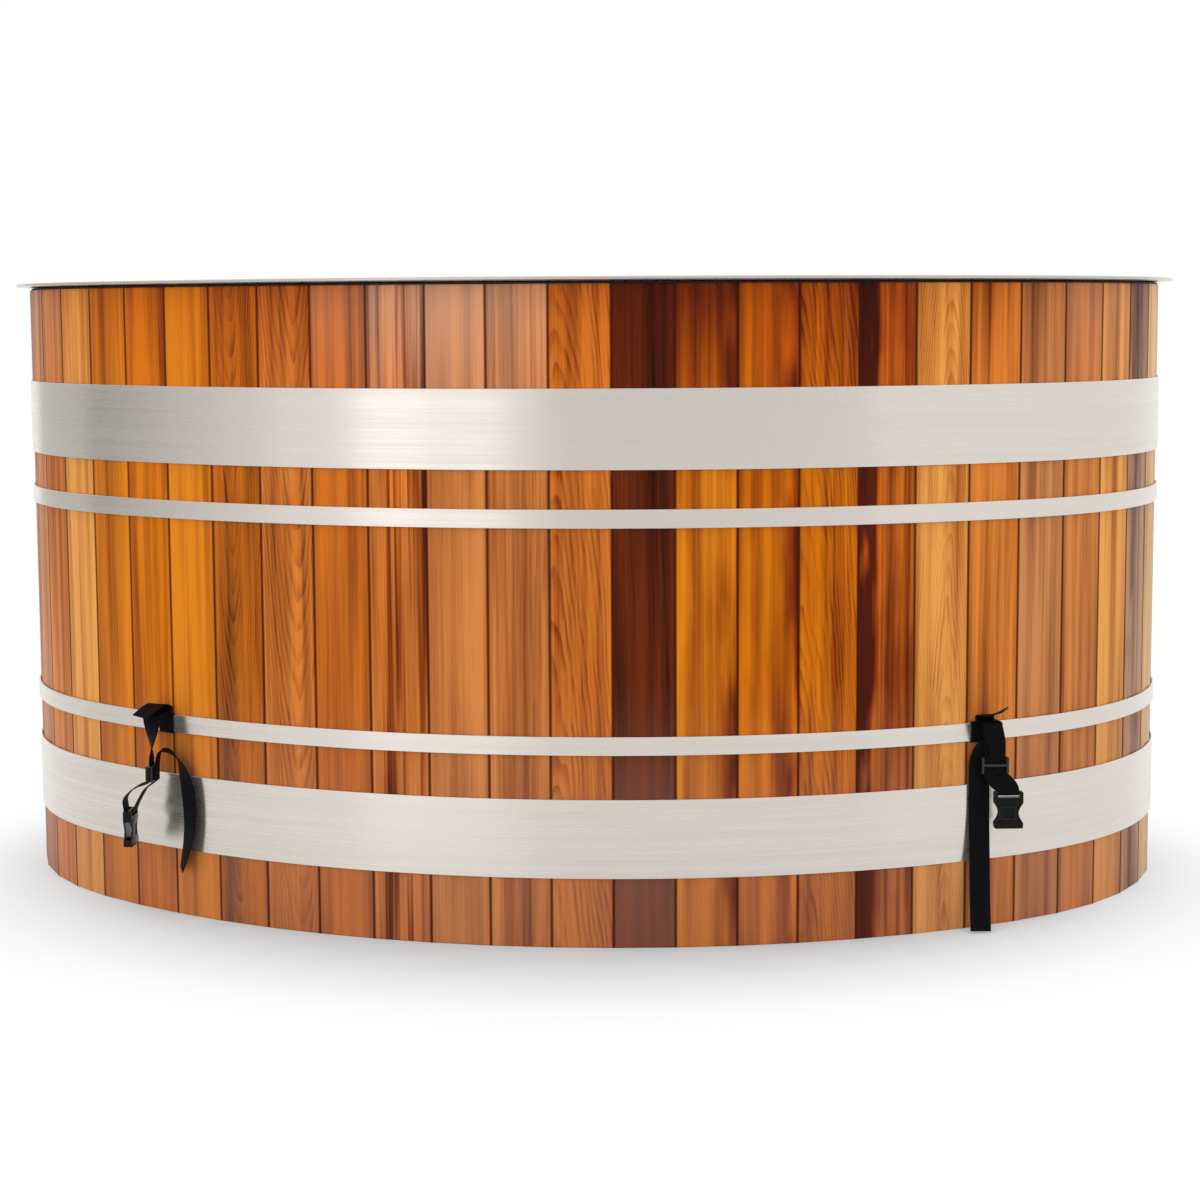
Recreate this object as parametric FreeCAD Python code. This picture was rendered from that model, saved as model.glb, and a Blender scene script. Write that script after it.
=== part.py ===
"""Oval cold plunge tub: bevelled cedar staves round an insulated steel liner, drawn together by four
steel bands, with two cover straps hanging from the lower hoop and the plumbing at the rear.

Millimetres, +Z up. The origin is on the floor under the middle of the oval. The front faces -Y and
the long way of the oval is X. The plan is a four-arc oval through the outer stave corners.
Wall pieces are drawn in a front pose, with the stave's outer face on y = 0 and outward along -Y,
and are then seated on their stave.
"""
import FreeCAD, Part
import math
import os
from dataclasses import dataclass
from FreeCAD import Vector

# Staves
stave_face = 73.0
stave_thickness = 35.0
stave_height = 777.0
stave_chamfer = 1.0
stave_gap = 0.1
staves_per_side = 17
staves_per_end = 12
end_radius = 477.4

# Wall insulation and liner
foam_thickness = 25.0
foam_gap = 0.3
liner_sheet = 1.5
seat_clearance = 0.1

# Floor
joist_width = 38.0
joist_height = 64.0
joist_pitch = 160.0
joists_each_side = 3
deck_thickness = 19.0
deck_board = 120.0
deck_gap = 2.0
floor_foam_thickness = 30.0
floor_clearance = 0.3

# Rim
seal_thickness = 2.0
seal_width = 24.0
seal_inset = 3.0
rim_overhang = 17.0
rim_edge_height = 6.0
rim_sheet = 1.5

# Bands, with the heights of the wide ones' middles and the wood left showing beside each hoop
wide_band_width = 94.0
wide_band_thickness = 1.5
hoop_width = 22.0
hoop_thickness = 2.0
band_clearance = 0.05
upper_band_height = 610.0
lower_band_height = 130.0
upper_hoop_spacing = 45.5
lower_hoop_spacing = 52.5

# Draw lugs that close the bands at the rear
closure_place = 4.0
closure_gap = 30.0
lug_foot = 30.0
lug_thickness = 4.0
lug_reach = 24.0
wide_lug_trim = 6.0
wide_lug_bolts = 2
bolt_radius = 4.0
bolt_hole_clearance = 0.3
bolt_head_flats = 13.0
bolt_head_height = 5.3
nut_height = 6.5
bolt_tail = 8.0

# Wall fittings: threaded bodies through the rear wall with hose tails outside
fitting_radius = 17.0
fitting_bore = 12.0
fitting_hole_clearance = 0.5
fitting_flange_radius = 36.0
fitting_flange = 5.0
fitting_gasket = 2.0
fitting_outside = 16.0
locknut_flats = 48.0
locknut_height = 10.0
fitting_hoop_gap = 45.0
tail_radius = 12.7
tail_length = 34.0
tail_bore = 9.0
tail_collar_radius = 16.0
tail_collar = 8.0
grille_thickness = 5.0
grille_slots = 5
grille_slot_width = 4.0
grille_slot_pitch = 9.0
ring_thickness = 9.0
nozzle_radius = 14.0
nozzle_clearance = 0.3
nozzle_jet = 5.0
nozzle_jet_length = 6.0
nozzle_wall = 2.5

# Floor drain, pipe and ball valve
drain_back = 125.0
drain_body_radius = 20.0
drain_bore = 14.0
drain_flange_radius = 38.0
drain_flange = 4.0
drain_gasket = 1.5
drain_nut_height = 12.0
drain_nut_flats = 56.0
strainer_thickness = 3.0
strainer_hole = 3.0
strainer_ring_holes = 8
strainer_ring_radius = 9.0
pipe_radius = 16.5
pipe_bore = 13.0
pipe_axis_height = 30.0
pipe_outside = 14.0
valve_length = 62.0
valve_radius = 23.0
valve_socket = 12.0
ball_radius = 17.0
ball_bore = 11.0
ball_clearance = 0.3
bonnet_radius = 12.5
stem_radius = 5.0
stem_rise = 12.0
stem_clearance = 0.3
lever_length = 92.0
lever_width = 16.0
lever_thickness = 4.0
lever_clearance = 1.0
lever_nut_flats = 13.0
lever_nut_height = 5.0

# Cover straps: nylon webbing, adjuster and the socket half of a side-release buckle
webbing_width = 25.4
webbing_thickness = 1.5
pressed_thickness = 0.4
pressed_clearance = 0.05
webbing_clearance = 0.25
fold_radius = 1.6
bend_radius = 5.0
tab_reach = 32.0
arc_share = 0.45
adjuster_height = 20.0
adjuster_bar = 3.2
adjuster_clearance = 0.6
buckle_width = 35.0
buckle_length = 45.0
buckle_thickness = 11.0
buckle_bar = 3.6
buckle_slot = 5.0
buckle_waist = 26.0
buckle_wall = 2.2
buckle_stop = 14.0
arch_drop = 6.0
ribbon_steps = 6


@dataclass
class Strap:
    """Where one cover strap hangs, in the front pose of its place on the lower hoop.

    The place counts staves along the front from its middle. Drops run down from the hoop's middle,
    offsets to the right of the place and stand-offs out from the staves, and angles are in degrees.
    The sway and the bow carry the buckle sideways and forwards from the slide. The tail's route is a
    list of points where it hangs free, each a stand-off and a drop.
    """

    name: str
    place: float
    offset: float
    stand_off: float
    twist: float
    tab_rise: float
    slide_drop: float
    bar_drop: float
    sway: float
    bow: float
    arch_radius: float
    arch_rise: float
    tail_offset: float
    tail_twist: float
    tail_lean: float
    tail_route: list

    @property
    def adjuster_at(self):
        """Height of the slide's middle."""
        return lower_hoop_height - self.slide_drop

    @property
    def bar_at(self):
        """Height of the buckle's bar."""
        return lower_hoop_height - self.bar_drop

    @property
    def hanging_route(self):
        """The tail's route with heights in place of drops."""
        return [(out, lower_hoop_height - drop) for out, drop in self.tail_route]


straps = [
    Strap(name="left_strap", place=-6.64, offset=-3.0, stand_off=27.0, twist=-56.0, tab_rise=-3.0,
          slide_drop=59.5, bar_drop=107.5, sway=0.0, bow=31.0, arch_radius=8.0, arch_rise=26.0,
          tail_offset=40.0, tail_twist=-8.0, tail_lean=0.0,
          tail_route=[(8.0, 70.5), (7.0, 106.5), (8.0, 144.5), (11.0, 182.5)]),
    Strap(name="right_strap", place=7.74, offset=8.0, stand_off=24.0, twist=-25.0, tab_rise=5.0,
          slide_drop=38.5, bar_drop=72.5, sway=17.0, bow=0.0, arch_radius=2.5, arch_rise=16.0,
          tail_offset=-4.0, tail_twist=-18.0, tail_lean=0.0,
          tail_route=[(8.0, 54.5), (8.5, 100.5), (11.0, 146.5), (17.0, 192.5), (28.0, 238.0)]),
]

# Oval worked out from the staves
end_turn = 2 * math.asin(stave_face / 2 / end_radius)
side_turn = (math.pi - staves_per_end * end_turn) / staves_per_side
side_radius = stave_face / 2 / math.sin(side_turn / 2)
side_half_angle = staves_per_side * side_turn / 2
end_centre = (side_radius - end_radius) * math.sin(side_half_angle)
side_centre = (side_radius - end_radius) * math.cos(side_half_angle)
end_sag = end_radius * (1 - math.cos(end_turn / 2))
side_sag = side_radius * (1 - math.cos(side_turn / 2))
deepest_sag = max(end_sag, side_sag)

# Distances in from the outer corners, and heights
stave_inner = deepest_sag + stave_thickness
liner_outer = stave_inner + foam_thickness + seat_clearance
liner_inner = liner_outer + liner_sheet
deck_edge = stave_inner + floor_clearance
floor_foam_base = joist_height + deck_thickness
liner_base = floor_foam_base + floor_foam_thickness
floor_top = liner_base + liner_sheet
rim_base = stave_height + seal_thickness
rim_top = rim_base + rim_edge_height
upper_hoop_height = upper_band_height - wide_band_width / 2 - upper_hoop_spacing - hoop_width / 2
lower_hoop_height = lower_band_height + wide_band_width / 2 + lower_hoop_spacing + hoop_width / 2
suction_height = lower_hoop_height + hoop_width / 2 + fitting_hoop_gap
return_height = upper_hoop_height - hoop_width / 2 - fitting_hoop_gap

# Distances out from a side stave's face
hoop_inside = side_sag + band_clearance
hoop_outside = hoop_inside + hoop_thickness
liner_face_out = side_sag - liner_inner

# Webbing round the lower hoop
wrap_front = hoop_outside + webbing_clearance
wrap_base = lower_hoop_height - hoop_width / 2 - webbing_clearance - webbing_thickness
wrap_top = lower_hoop_height + hoop_width / 2 + webbing_clearance + webbing_thickness


def arc_edge(cx, cy, radius, start, end, z):
    """One arc of the oval. Angles are measured from -Y towards +X."""
    spots = []
    for angle in (start, (start + end) / 2, end):
        spots.append(Vector(cx + radius * math.sin(angle), cy - radius * math.cos(angle), z))
    return Part.Arc(*spots).toShape()


def oval_wire(inset, z):
    """The four-arc oval, moved in from the stave corners by inset."""
    half = side_half_angle
    turn = math.pi
    end = end_radius - inset
    side = side_radius - inset
    edges = [
        arc_edge(0, side_centre, side, -half, half, z),
        arc_edge(end_centre, 0, end, half, turn - half, z),
        arc_edge(0, -side_centre, side, turn - half, turn + half, z),
        arc_edge(-end_centre, 0, end, turn + half, 2 * turn - half, z),
    ]
    return Part.Wire(edges)


def oval_slab(inset, z0, z1):
    """A solid oval plate."""
    return Part.Face(oval_wire(inset, z0)).extrude(Vector(0, 0, z1 - z0))


def oval_ring(outer_inset, inner_inset, z0, z1):
    """A plain oval ring of rectangular section."""
    return oval_slab(outer_inset, z0, z1).cut(oval_slab(inner_inset, z0, z1))


def oval_sweep(section):
    """Carry a section round the oval. section(inset_to_x) returns a face in the XZ plane."""
    arcs = [
        (0, side_centre, side_radius, -side_half_angle, side_half_angle),
        (end_centre, 0, end_radius, side_half_angle, math.pi - side_half_angle),
        (0, -side_centre, side_radius, math.pi - side_half_angle, math.pi + side_half_angle),
        (-end_centre, 0, end_radius, math.pi + side_half_angle, 2 * math.pi - side_half_angle),
    ]
    ring = None
    for cx, cy, radius, start, end in arcs:
        face = section(radius)
        span = face.revolve(Vector(0, 0, 0), Vector(0, 0, 1), math.degrees(end - start))
        span.rotate(Vector(0, 0, 0), Vector(0, 0, 1), math.degrees(start) - 90)
        span.translate(Vector(cx, cy, 0))
        ring = span if ring is None else ring.fuse(span)
    return ring.removeSplitter()


@dataclass
class Seat:
    """The middle of one stave's outer face: its place, outward angle and half bevel."""

    x: float
    y: float
    angle: float
    bevel: float


def stave_seats():
    """Seats of all staves, by run: front, right, rear, left, each counted along the oval."""
    runs = {"front": [], "right": [], "rear": [], "left": []}
    side_apothem = side_radius - side_sag
    end_apothem = end_radius - end_sag
    for name, base, cx, cy in (("front", 0, 0, side_centre), ("rear", math.pi, 0, -side_centre)):
        for k in range(staves_per_side):
            angle = base + (k - (staves_per_side - 1) / 2) * side_turn
            place = (cx + side_apothem * math.sin(angle), cy - side_apothem * math.cos(angle))
            runs[name].append(Seat(*place, angle, side_turn / 2))
    for name, base, cx in (("right", 0, end_centre), ("left", math.pi, -end_centre)):
        for k in range(staves_per_end):
            angle = base + side_half_angle + (k + 0.5) * end_turn
            place = (cx + end_apothem * math.sin(angle), -end_apothem * math.cos(angle))
            runs[name].append(Seat(*place, angle, end_turn / 2))
    return runs


seats = stave_seats()
middle = (staves_per_side - 1) // 2
rear_seat = seats["rear"][middle]
rear_face_y = rear_seat.y


def side_seat(middle_angle, place):
    """A place on the front or the rear, counted in staves from the run's middle."""
    angle = middle_angle + place * side_turn
    apothem = side_radius - side_sag
    x = apothem * math.sin(angle)
    y = side_centre * math.cos(middle_angle) - apothem * math.cos(angle)
    return Seat(x, y, angle, side_turn / 2)


def strap_seat(strap):
    """The place on the front where one strap hangs."""
    return side_seat(0, strap.place)


def seated(shape, seat):
    """Move a shape from the front pose to its stave."""
    moved = shape.copy()
    moved.rotate(Vector(0, 0, 0), Vector(0, 0, 1), math.degrees(seat.angle))
    moved.translate(Vector(seat.x, seat.y, 0))
    return moved


def joined(shapes):
    """Fuse a list of touching shapes into one solid."""
    whole = shapes[0].multiFuse(shapes[1:])
    return whole.removeSplitter()


def polygon_prism(points, z0, z1):
    """A prism from plan points."""
    corners = [Vector(x, y, z0) for x, y in points]
    face = Part.Face(Part.makePolygon(corners + corners[:1]))
    return face.extrude(Vector(0, 0, z1 - z0))


def box(x0, x1, y0, y1, z0, z1):
    """A box from its limits."""
    return Part.makeBox(x1 - x0, y1 - y0, z1 - z0, Vector(x0, y0, z0))


def rod(radius, out0, out1, z, x=0.0):
    """A rod square to the wall, between two distances out from the stave's face."""
    return Part.makeCylinder(radius, out1 - out0, Vector(x, -out0, z), Vector(0, -1, 0))


def tube(radius, bore, out0, out1, z):
    """A rod with a bore right through it."""
    return rod(radius, out0, out1, z).cut(rod(bore, out0, out1, z))


def hexagon(flats, start, along, length):
    """A hexagonal prism with two flats facing up and down, or sideways on an upright axis."""
    corner = flats / 2 / math.cos(math.pi / 6)
    side = Vector(1, 0, 0) if abs(along.x) < 0.5 else Vector(0, 1, 0)
    other = along.cross(side)
    spots = []
    for k in range(7):
        angle = k * math.pi / 3
        spots.append(start + side * (corner * math.cos(angle)) + other * (corner * math.sin(angle)))
    return Part.Face(Part.makePolygon(spots)).extrude(along * length)


def upright(radius, x, y, z0, z1):
    """A vertical rod."""
    return Part.makeCylinder(radius, z1 - z0, Vector(x, y, z0), Vector(0, 0, 1))


# Staves and insulation boards
def board(seat, out, thickness, side_gap, chamfer, z0, z1):
    """A flat board with bevelled edges, drawn from a distance out from the stave's face."""
    slope = math.tan(seat.bevel)
    half = stave_face / 2 + out * slope - side_gap / 2
    front = -out
    points = [(-half + chamfer * slope, front + chamfer)]
    if chamfer > 0:
        points.append((-half + chamfer, front))
        points.append((half - chamfer, front))
    points.append((half - chamfer * slope, front + chamfer))
    points.append((half - thickness * slope, front + thickness))
    points.append((-half + thickness * slope, front + thickness))
    return seated(polygon_prism(points, z0, z1), seat)


def wall_hole(height):
    """The hole through the rear wall for one fitting."""
    reach = fitting_radius + fitting_hole_clearance
    return seated(rod(reach, -liner_inner - stave_thickness, stave_thickness, height), rear_seat)


def pipe_hole():
    """The hole through the foot of the rear stave for the drain pipe."""
    reach = pipe_radius + fitting_hole_clearance
    return seated(rod(reach, -2 * stave_thickness, stave_thickness, pipe_axis_height), rear_seat)


def strap_dent(strap):
    """The dent that a strap's webbing presses into the staves behind the lower hoop."""
    half = webbing_width / 2 + pressed_clearance
    deep = pressed_thickness + 2 * pressed_clearance
    dent = box(-half, half, -wrap_front, deep, wrap_base - pressed_clearance, wrap_top + pressed_clearance)
    return seated(dent, strap_seat(strap))


def make_staves():
    """Stave groups by run, dented by the straps. The rear middle stave is drilled for the plumbing."""
    names = {
        "front": ("staves_front_left", "staves_front", "staves_front_right"),
        "right": ("staves_right_front", "staves_right_rear"),
        "rear": ("staves_rear_right", "staves_rear", "staves_rear_left"),
        "left": ("staves_left_rear", "staves_left_front"),
    }
    groups = {}
    for run, group_names in names.items():
        count = len(seats[run])
        for k, seat in enumerate(seats[run]):
            stave = board(seat, 0, stave_thickness, stave_gap, stave_chamfer, 0, stave_height)
            if seat is rear_seat:
                for hole in (wall_hole(suction_height), wall_hole(return_height), pipe_hole()):
                    stave = stave.cut(hole)
            for strap in straps:
                if run == "front" and abs(k - middle - strap.place) < 1:
                    stave = stave.cut(strap_dent(strap))
            name = group_names[k * len(group_names) // count]
            groups.setdefault(name, []).append(stave)
    return {name: Part.makeCompound(staves) for name, staves in groups.items()}


def make_wall_insulation():
    """One flat foam board behind each stave, standing on the deck."""
    boards = []
    for run in seats.values():
        for seat in run:
            foam = board(seat, -stave_thickness, foam_thickness, foam_gap, 0, floor_foam_base,
                         stave_height)
            if seat is rear_seat:
                foam = foam.cut(wall_hole(suction_height)).cut(wall_hole(return_height))
            boards.append(foam)
    return Part.makeCompound(boards)


# Floor
drain_y = rear_face_y - liner_outer - drain_back


def drain_hole(z0, z1):
    """The hole through the floor layers for the drain body."""
    return upright(drain_body_radius + fitting_hole_clearance, 0, drain_y, z0, z1)


def make_floor_joists():
    """Joists on the ground. The middle one stops short of the drain elbow."""
    inside = oval_slab(deck_edge, 0, joist_height)
    stop = drain_y - drain_flange_radius - joist_width
    joists = []
    for k in range(-joists_each_side, joists_each_side + 1):
        x = k * joist_pitch
        end = stop if k == 0 else end_radius + side_radius
        blank = box(x - joist_width / 2, x + joist_width / 2, -side_radius, end, 0, joist_height)
        joists.append(blank.common(inside))
    return Part.makeCompound(joists)


def make_floor_deck():
    """Deck boards across the joists, cut to the oval."""
    inside = oval_slab(deck_edge, joist_height, floor_foam_base)
    reach = end_centre + end_radius
    half_width = side_radius - side_centre - deck_edge
    count = math.ceil((2 * half_width - deck_board) / (2 * (deck_board + deck_gap)))
    boards = []
    for k in range(-count, count + 1):
        y = k * (deck_board + deck_gap)
        blank = box(-reach, reach, y - deck_board / 2, y + deck_board / 2, joist_height,
                    floor_foam_base)
        cut = blank.common(inside).cut(drain_hole(joist_height, floor_foam_base))
        boards.append(cut)
    return Part.makeCompound(boards)


def make_floor_insulation():
    """Foam slab under the liner, inside the ring of wall boards."""
    slab = oval_slab(liner_outer + floor_clearance, floor_foam_base, liner_base)
    return slab.cut(drain_hole(floor_foam_base, liner_base))


# Liner and rim
def make_liner_floor():
    """Steel floor sheet with the drain hole."""
    return oval_slab(liner_outer, liner_base, floor_top).cut(drain_hole(liner_base, floor_top))


def make_liner_wall():
    """Steel wall sheet standing on the floor sheet, drilled for the two fittings."""
    wall = oval_ring(liner_outer, liner_inner, floor_top, rim_top - rim_sheet)
    return wall.cut(wall_hole(suction_height)).cut(wall_hole(return_height))


def make_rim_seal():
    """Black rubber strip between the stave ends and the rim."""
    return oval_ring(seal_inset, seal_inset + seal_width, stave_height, rim_base)


def rim_section(radius):
    """Folded sheet: a top plate from the liner outwards, a round hem and a return leg beneath."""
    outer = rim_edge_height / 2
    inner = outer - rim_sheet
    start = radius - liner_inner
    bend = radius + rim_overhang - outer
    leg = radius - seal_inset - seal_width
    middle_z = rim_base + outer
    spots = [
        Vector(start, 0, rim_top),
        Vector(bend, 0, rim_top),
        Vector(bend + outer, 0, middle_z),
        Vector(bend, 0, rim_base),
        Vector(leg, 0, rim_base),
        Vector(leg, 0, rim_base + rim_sheet),
        Vector(bend, 0, rim_base + rim_sheet),
        Vector(bend + inner, 0, middle_z),
        Vector(bend, 0, rim_top - rim_sheet),
        Vector(start, 0, rim_top - rim_sheet),
    ]
    edges = [
        Part.makeLine(spots[0], spots[1]),
        Part.Arc(spots[1], spots[2], spots[3]).toShape(),
        Part.makeLine(spots[3], spots[4]),
        Part.makeLine(spots[4], spots[5]),
        Part.makeLine(spots[5], spots[6]),
        Part.Arc(spots[6], spots[7], spots[8]).toShape(),
        Part.makeLine(spots[8], spots[9]),
        Part.makeLine(spots[9], spots[0]),
    ]
    return Part.Face(Part.Wire(edges))


# Bands and their draw lugs
@dataclass
class Band:
    """One steel band: its node, middle height, width, thickness and number of draw bolts."""

    node: str
    height: float
    width: float
    thickness: float
    bolts: int
    lug_trim: float


bands = [
    Band("upper_wide_band", upper_band_height, wide_band_width, wide_band_thickness,
         wide_lug_bolts, wide_lug_trim),
    Band("upper_hoop", upper_hoop_height, hoop_width, hoop_thickness, 1, 0),
    Band("lower_hoop", lower_hoop_height, hoop_width, hoop_thickness, 1, 0),
    Band("lower_wide_band", lower_band_height, wide_band_width, wide_band_thickness,
         wide_lug_bolts, wide_lug_trim),
]
closure_seat = side_seat(math.pi, closure_place)


def make_band(band):
    """A band open at its closure."""
    z0 = band.height - band.width / 2
    ring = oval_ring(-band_clearance - band.thickness, -band_clearance, z0, z0 + band.width)
    reach = hoop_outside + stave_thickness
    gap = box(-closure_gap / 2, closure_gap / 2, -reach, reach, z0, z0 + band.width)
    return ring.cut(seated(gap, closure_seat))


def bolt_heights(band):
    """Heights of the draw bolts on one band."""
    lug = band.width - 2 * band.lug_trim
    return [band.height + lug * ((k + 0.5) / band.bolts - 0.5) for k in range(band.bolts)]


def bolt_out(band):
    """How far out from the stave the draw bolts lie."""
    face = side_sag + band_clearance + band.thickness
    return face + lug_thickness + (lug_reach - lug_thickness) / 2


def make_lugs(band):
    """The two lugs welded to the ends of one band: a foot on the band and an ear standing out."""
    z0 = band.height - band.width / 2 + band.lug_trim
    z1 = band.height + band.width / 2 - band.lug_trim
    face = side_sag + band_clearance + band.thickness
    inset = -band_clearance - band.thickness
    lugs = []
    for side in (-1, 1):
        near = side * closure_gap / 2
        far = side * (closure_gap / 2 + lug_foot)
        ear_far = side * (closure_gap / 2 + lug_thickness)
        zone = box(min(near, far), max(near, far), -face - lug_thickness - side_sag, 0, z0, z1)
        foot = oval_ring(inset - lug_thickness, inset, z0, z1).common(seated(zone, closure_seat))
        ear = box(min(near, ear_far), max(near, ear_far), -face - lug_reach,
                  -face - lug_thickness / 2, z0, z1)
        lug = joined([foot, seated(ear, closure_seat)])
        for z in bolt_heights(band):
            hole = Part.makeCylinder(bolt_radius + bolt_hole_clearance, closure_gap + 2 * lug_foot,
                                     Vector(-closure_gap / 2 - lug_foot, -bolt_out(band), z),
                                     Vector(1, 0, 0))
            lug = lug.cut(seated(hole, closure_seat))
        lugs.append(lug)
    return lugs


def make_draw_bolts(band):
    """Bolts with hexagon heads, and their nuts, on one band."""
    bolts = []
    nuts = []
    along = Vector(1, 0, 0)
    start = -closure_gap / 2 - lug_thickness
    end = -start
    for z in bolt_heights(band):
        axis = Vector(0, -bolt_out(band), z)
        shank = Part.makeCylinder(bolt_radius, end - start + nut_height + bolt_tail,
                                  axis + along * start, along)
        head = hexagon(bolt_head_flats, axis + along * (start - bolt_head_height), along,
                       bolt_head_height)
        nut = hexagon(bolt_head_flats, axis + along * end, along, nut_height)
        hole = Part.makeCylinder(bolt_radius + seat_clearance, nut_height, axis + along * end, along)
        bolts.append(seated(joined([shank, head]), closure_seat))
        nuts.append(seated(nut.cut(hole), closure_seat))
    return bolts, nuts


# Wall fittings
flange_sag = fitting_flange_radius ** 2 / 2 / (side_radius - liner_inner)
gasket_out = liner_face_out - flange_sag
flange_out = gasket_out - fitting_gasket
flange_face_out = flange_out - fitting_flange


def make_fitting_body(height, bore):
    """Threaded body with its flange inside the tub."""
    flange = rod(fitting_flange_radius, flange_face_out, flange_out, height)
    neck = rod(fitting_radius, flange_out, fitting_outside, height)
    whole = joined([flange, neck])
    return seated(whole.cut(rod(bore, flange_face_out, fitting_outside, height)), rear_seat)


def make_fitting_gasket(height):
    """Flat rubber ring under the flange."""
    ring = tube(fitting_flange_radius, fitting_radius + fitting_hole_clearance, flange_out,
                gasket_out, height)
    return seated(ring, rear_seat)


def make_locknut(height):
    """Hexagon locknut against the stave."""
    nut = hexagon(locknut_flats, Vector(0, 0, height), Vector(0, -1, 0), locknut_height)
    hole = rod(fitting_radius + seat_clearance, 0, locknut_height, height)
    return seated(nut.cut(hole), rear_seat)


def hose_tail(out, height):
    """Collar and plain hose spigot, starting at a distance out from the stave."""
    collar = rod(tail_collar_radius, out, out + tail_collar, height)
    spigot = rod(tail_radius, out + tail_collar, out + tail_collar + tail_length, height)
    whole = joined([collar, spigot])
    return seated(whole.cut(rod(tail_bore, out, out + tail_collar + tail_length, height)), rear_seat)


def make_suction_grille():
    """Slotted cover over the suction."""
    start = flange_face_out - grille_thickness
    plate = rod(fitting_flange_radius, start, flange_face_out, suction_height)
    for k in range(grille_slots):
        x = (k - (grille_slots - 1) / 2) * grille_slot_pitch
        half = math.sqrt((fitting_flange_radius - grille_slot_pitch) ** 2 - x ** 2)
        slot = box(x - grille_slot_width / 2, x + grille_slot_width / 2, -flange_face_out, -start,
                   suction_height - half, suction_height + half)
        plate = plate.cut(slot)
    return seated(plate, rear_seat)


nozzle_out = flange_face_out - ring_thickness / 2


def make_return_ring():
    """Retaining ring with a round seat for the nozzle ball."""
    ring = rod(fitting_flange_radius, flange_face_out - ring_thickness, flange_face_out, return_height)
    seat = Part.makeSphere(nozzle_radius + nozzle_clearance, Vector(0, -nozzle_out, return_height))
    return seated(ring.cut(seat), rear_seat)


def make_return_body():
    """Return body, with its bore opened into a round seat behind the nozzle ball."""
    seat = Part.makeSphere(nozzle_radius + nozzle_clearance, Vector(0, -nozzle_out, return_height))
    return make_fitting_body(return_height, fitting_bore).cut(seated(seat, rear_seat))


def make_return_nozzle():
    """Ball with a jet nose and a bore through both, which swivels in its seat."""
    centre = Vector(0, -nozzle_out, return_height)
    ball = Part.makeSphere(nozzle_radius, centre, Vector(0, 1, 0))
    nose_end = nozzle_out - nozzle_radius - nozzle_jet_length
    nose = rod(nozzle_jet + nozzle_wall, nose_end, nozzle_out, return_height)
    bore = rod(nozzle_jet, nose_end, nozzle_out + nozzle_radius, return_height)
    return seated(joined([ball, nose]).cut(bore), rear_seat)


# Drain
drain_nut_base = joist_height - drain_nut_height
elbow_top = drain_nut_base
drain_run_out = -(rear_face_y - drain_y)


def make_drain_body():
    """Flanged body through the floor, threaded below the deck."""
    gasket_top = floor_top + drain_gasket
    flange = upright(drain_flange_radius, 0, drain_y, gasket_top, gasket_top + drain_flange)
    neck = upright(drain_body_radius, 0, drain_y, drain_nut_base, gasket_top)
    bore = upright(drain_bore, 0, drain_y, drain_nut_base, gasket_top + drain_flange)
    return joined([flange, neck]).cut(bore)


def make_drain_gasket():
    """Flat rubber ring under the drain flange."""
    ring = upright(drain_flange_radius, 0, drain_y, floor_top, floor_top + drain_gasket)
    hole = upright(drain_body_radius + fitting_hole_clearance, 0, drain_y, floor_top,
                   floor_top + drain_gasket)
    return ring.cut(hole)


def make_drain_locknut():
    """Locknut under the deck."""
    nut = hexagon(drain_nut_flats, Vector(0, drain_y, drain_nut_base), Vector(0, 0, 1),
                  drain_nut_height)
    return nut.cut(upright(drain_body_radius + seat_clearance, 0, drain_y, drain_nut_base, joist_height))


def make_drain_strainer():
    """Perforated disc on the drain flange."""
    base = floor_top + drain_gasket + drain_flange
    disc = upright(drain_body_radius, 0, drain_y, base, base + strainer_thickness)
    holes = [upright(strainer_hole, 0, drain_y, base, base + strainer_thickness)]
    for k in range(strainer_ring_holes):
        angle = 2 * math.pi * k / strainer_ring_holes
        holes.append(upright(strainer_hole, strainer_ring_radius * math.cos(angle),
                             drain_y + strainer_ring_radius * math.sin(angle), base,
                             base + strainer_thickness))
    return disc.cut(holes)


def make_drain_elbow():
    """Bend from the drain body to the level pipe."""
    bend = elbow_top - pipe_axis_height
    parts = []
    for radius in (pipe_radius, pipe_bore):
        circle = Part.Face(Part.Wire(Part.makeCircle(radius, Vector(0, drain_y, elbow_top))))
        parts.append(circle.revolve(Vector(0, drain_y + bend, elbow_top), Vector(1, 0, 0), 90))
    return parts[0].cut(parts[1])


pipe_start_out = drain_run_out + (elbow_top - pipe_axis_height)
valve_start_out = pipe_outside
valve_middle_out = valve_start_out + valve_length / 2
valve_end_out = valve_start_out + valve_length


def make_drain_pipe():
    """Level pipe from the elbow through the foot of the rear stave into the valve."""
    end = valve_start_out + valve_socket
    return seated(tube(pipe_radius, pipe_bore, pipe_start_out, end, pipe_axis_height), rear_seat)


def make_valve_body():
    """Valve body with a pipe socket, a round ball seat and a bonnet for the stem."""
    z = pipe_axis_height
    shell = rod(valve_radius, valve_start_out, valve_end_out, z)
    bonnet = upright(bonnet_radius, 0, -valve_middle_out, z, z + valve_radius + lever_clearance)
    body = joined([shell, bonnet])
    socket = rod(pipe_radius + seat_clearance, valve_start_out, valve_start_out + valve_socket, z)
    bore = rod(ball_bore, valve_start_out, valve_end_out, z)
    seat = Part.makeSphere(ball_radius + ball_clearance, Vector(0, -valve_middle_out, z))
    stem = upright(stem_radius + stem_clearance, 0, -valve_middle_out, z,
                   z + valve_radius + stem_rise)
    return seated(body.cut([socket, bore, seat, stem]), rear_seat)


lever_base = pipe_axis_height + valve_radius + 2 * lever_clearance


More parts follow.
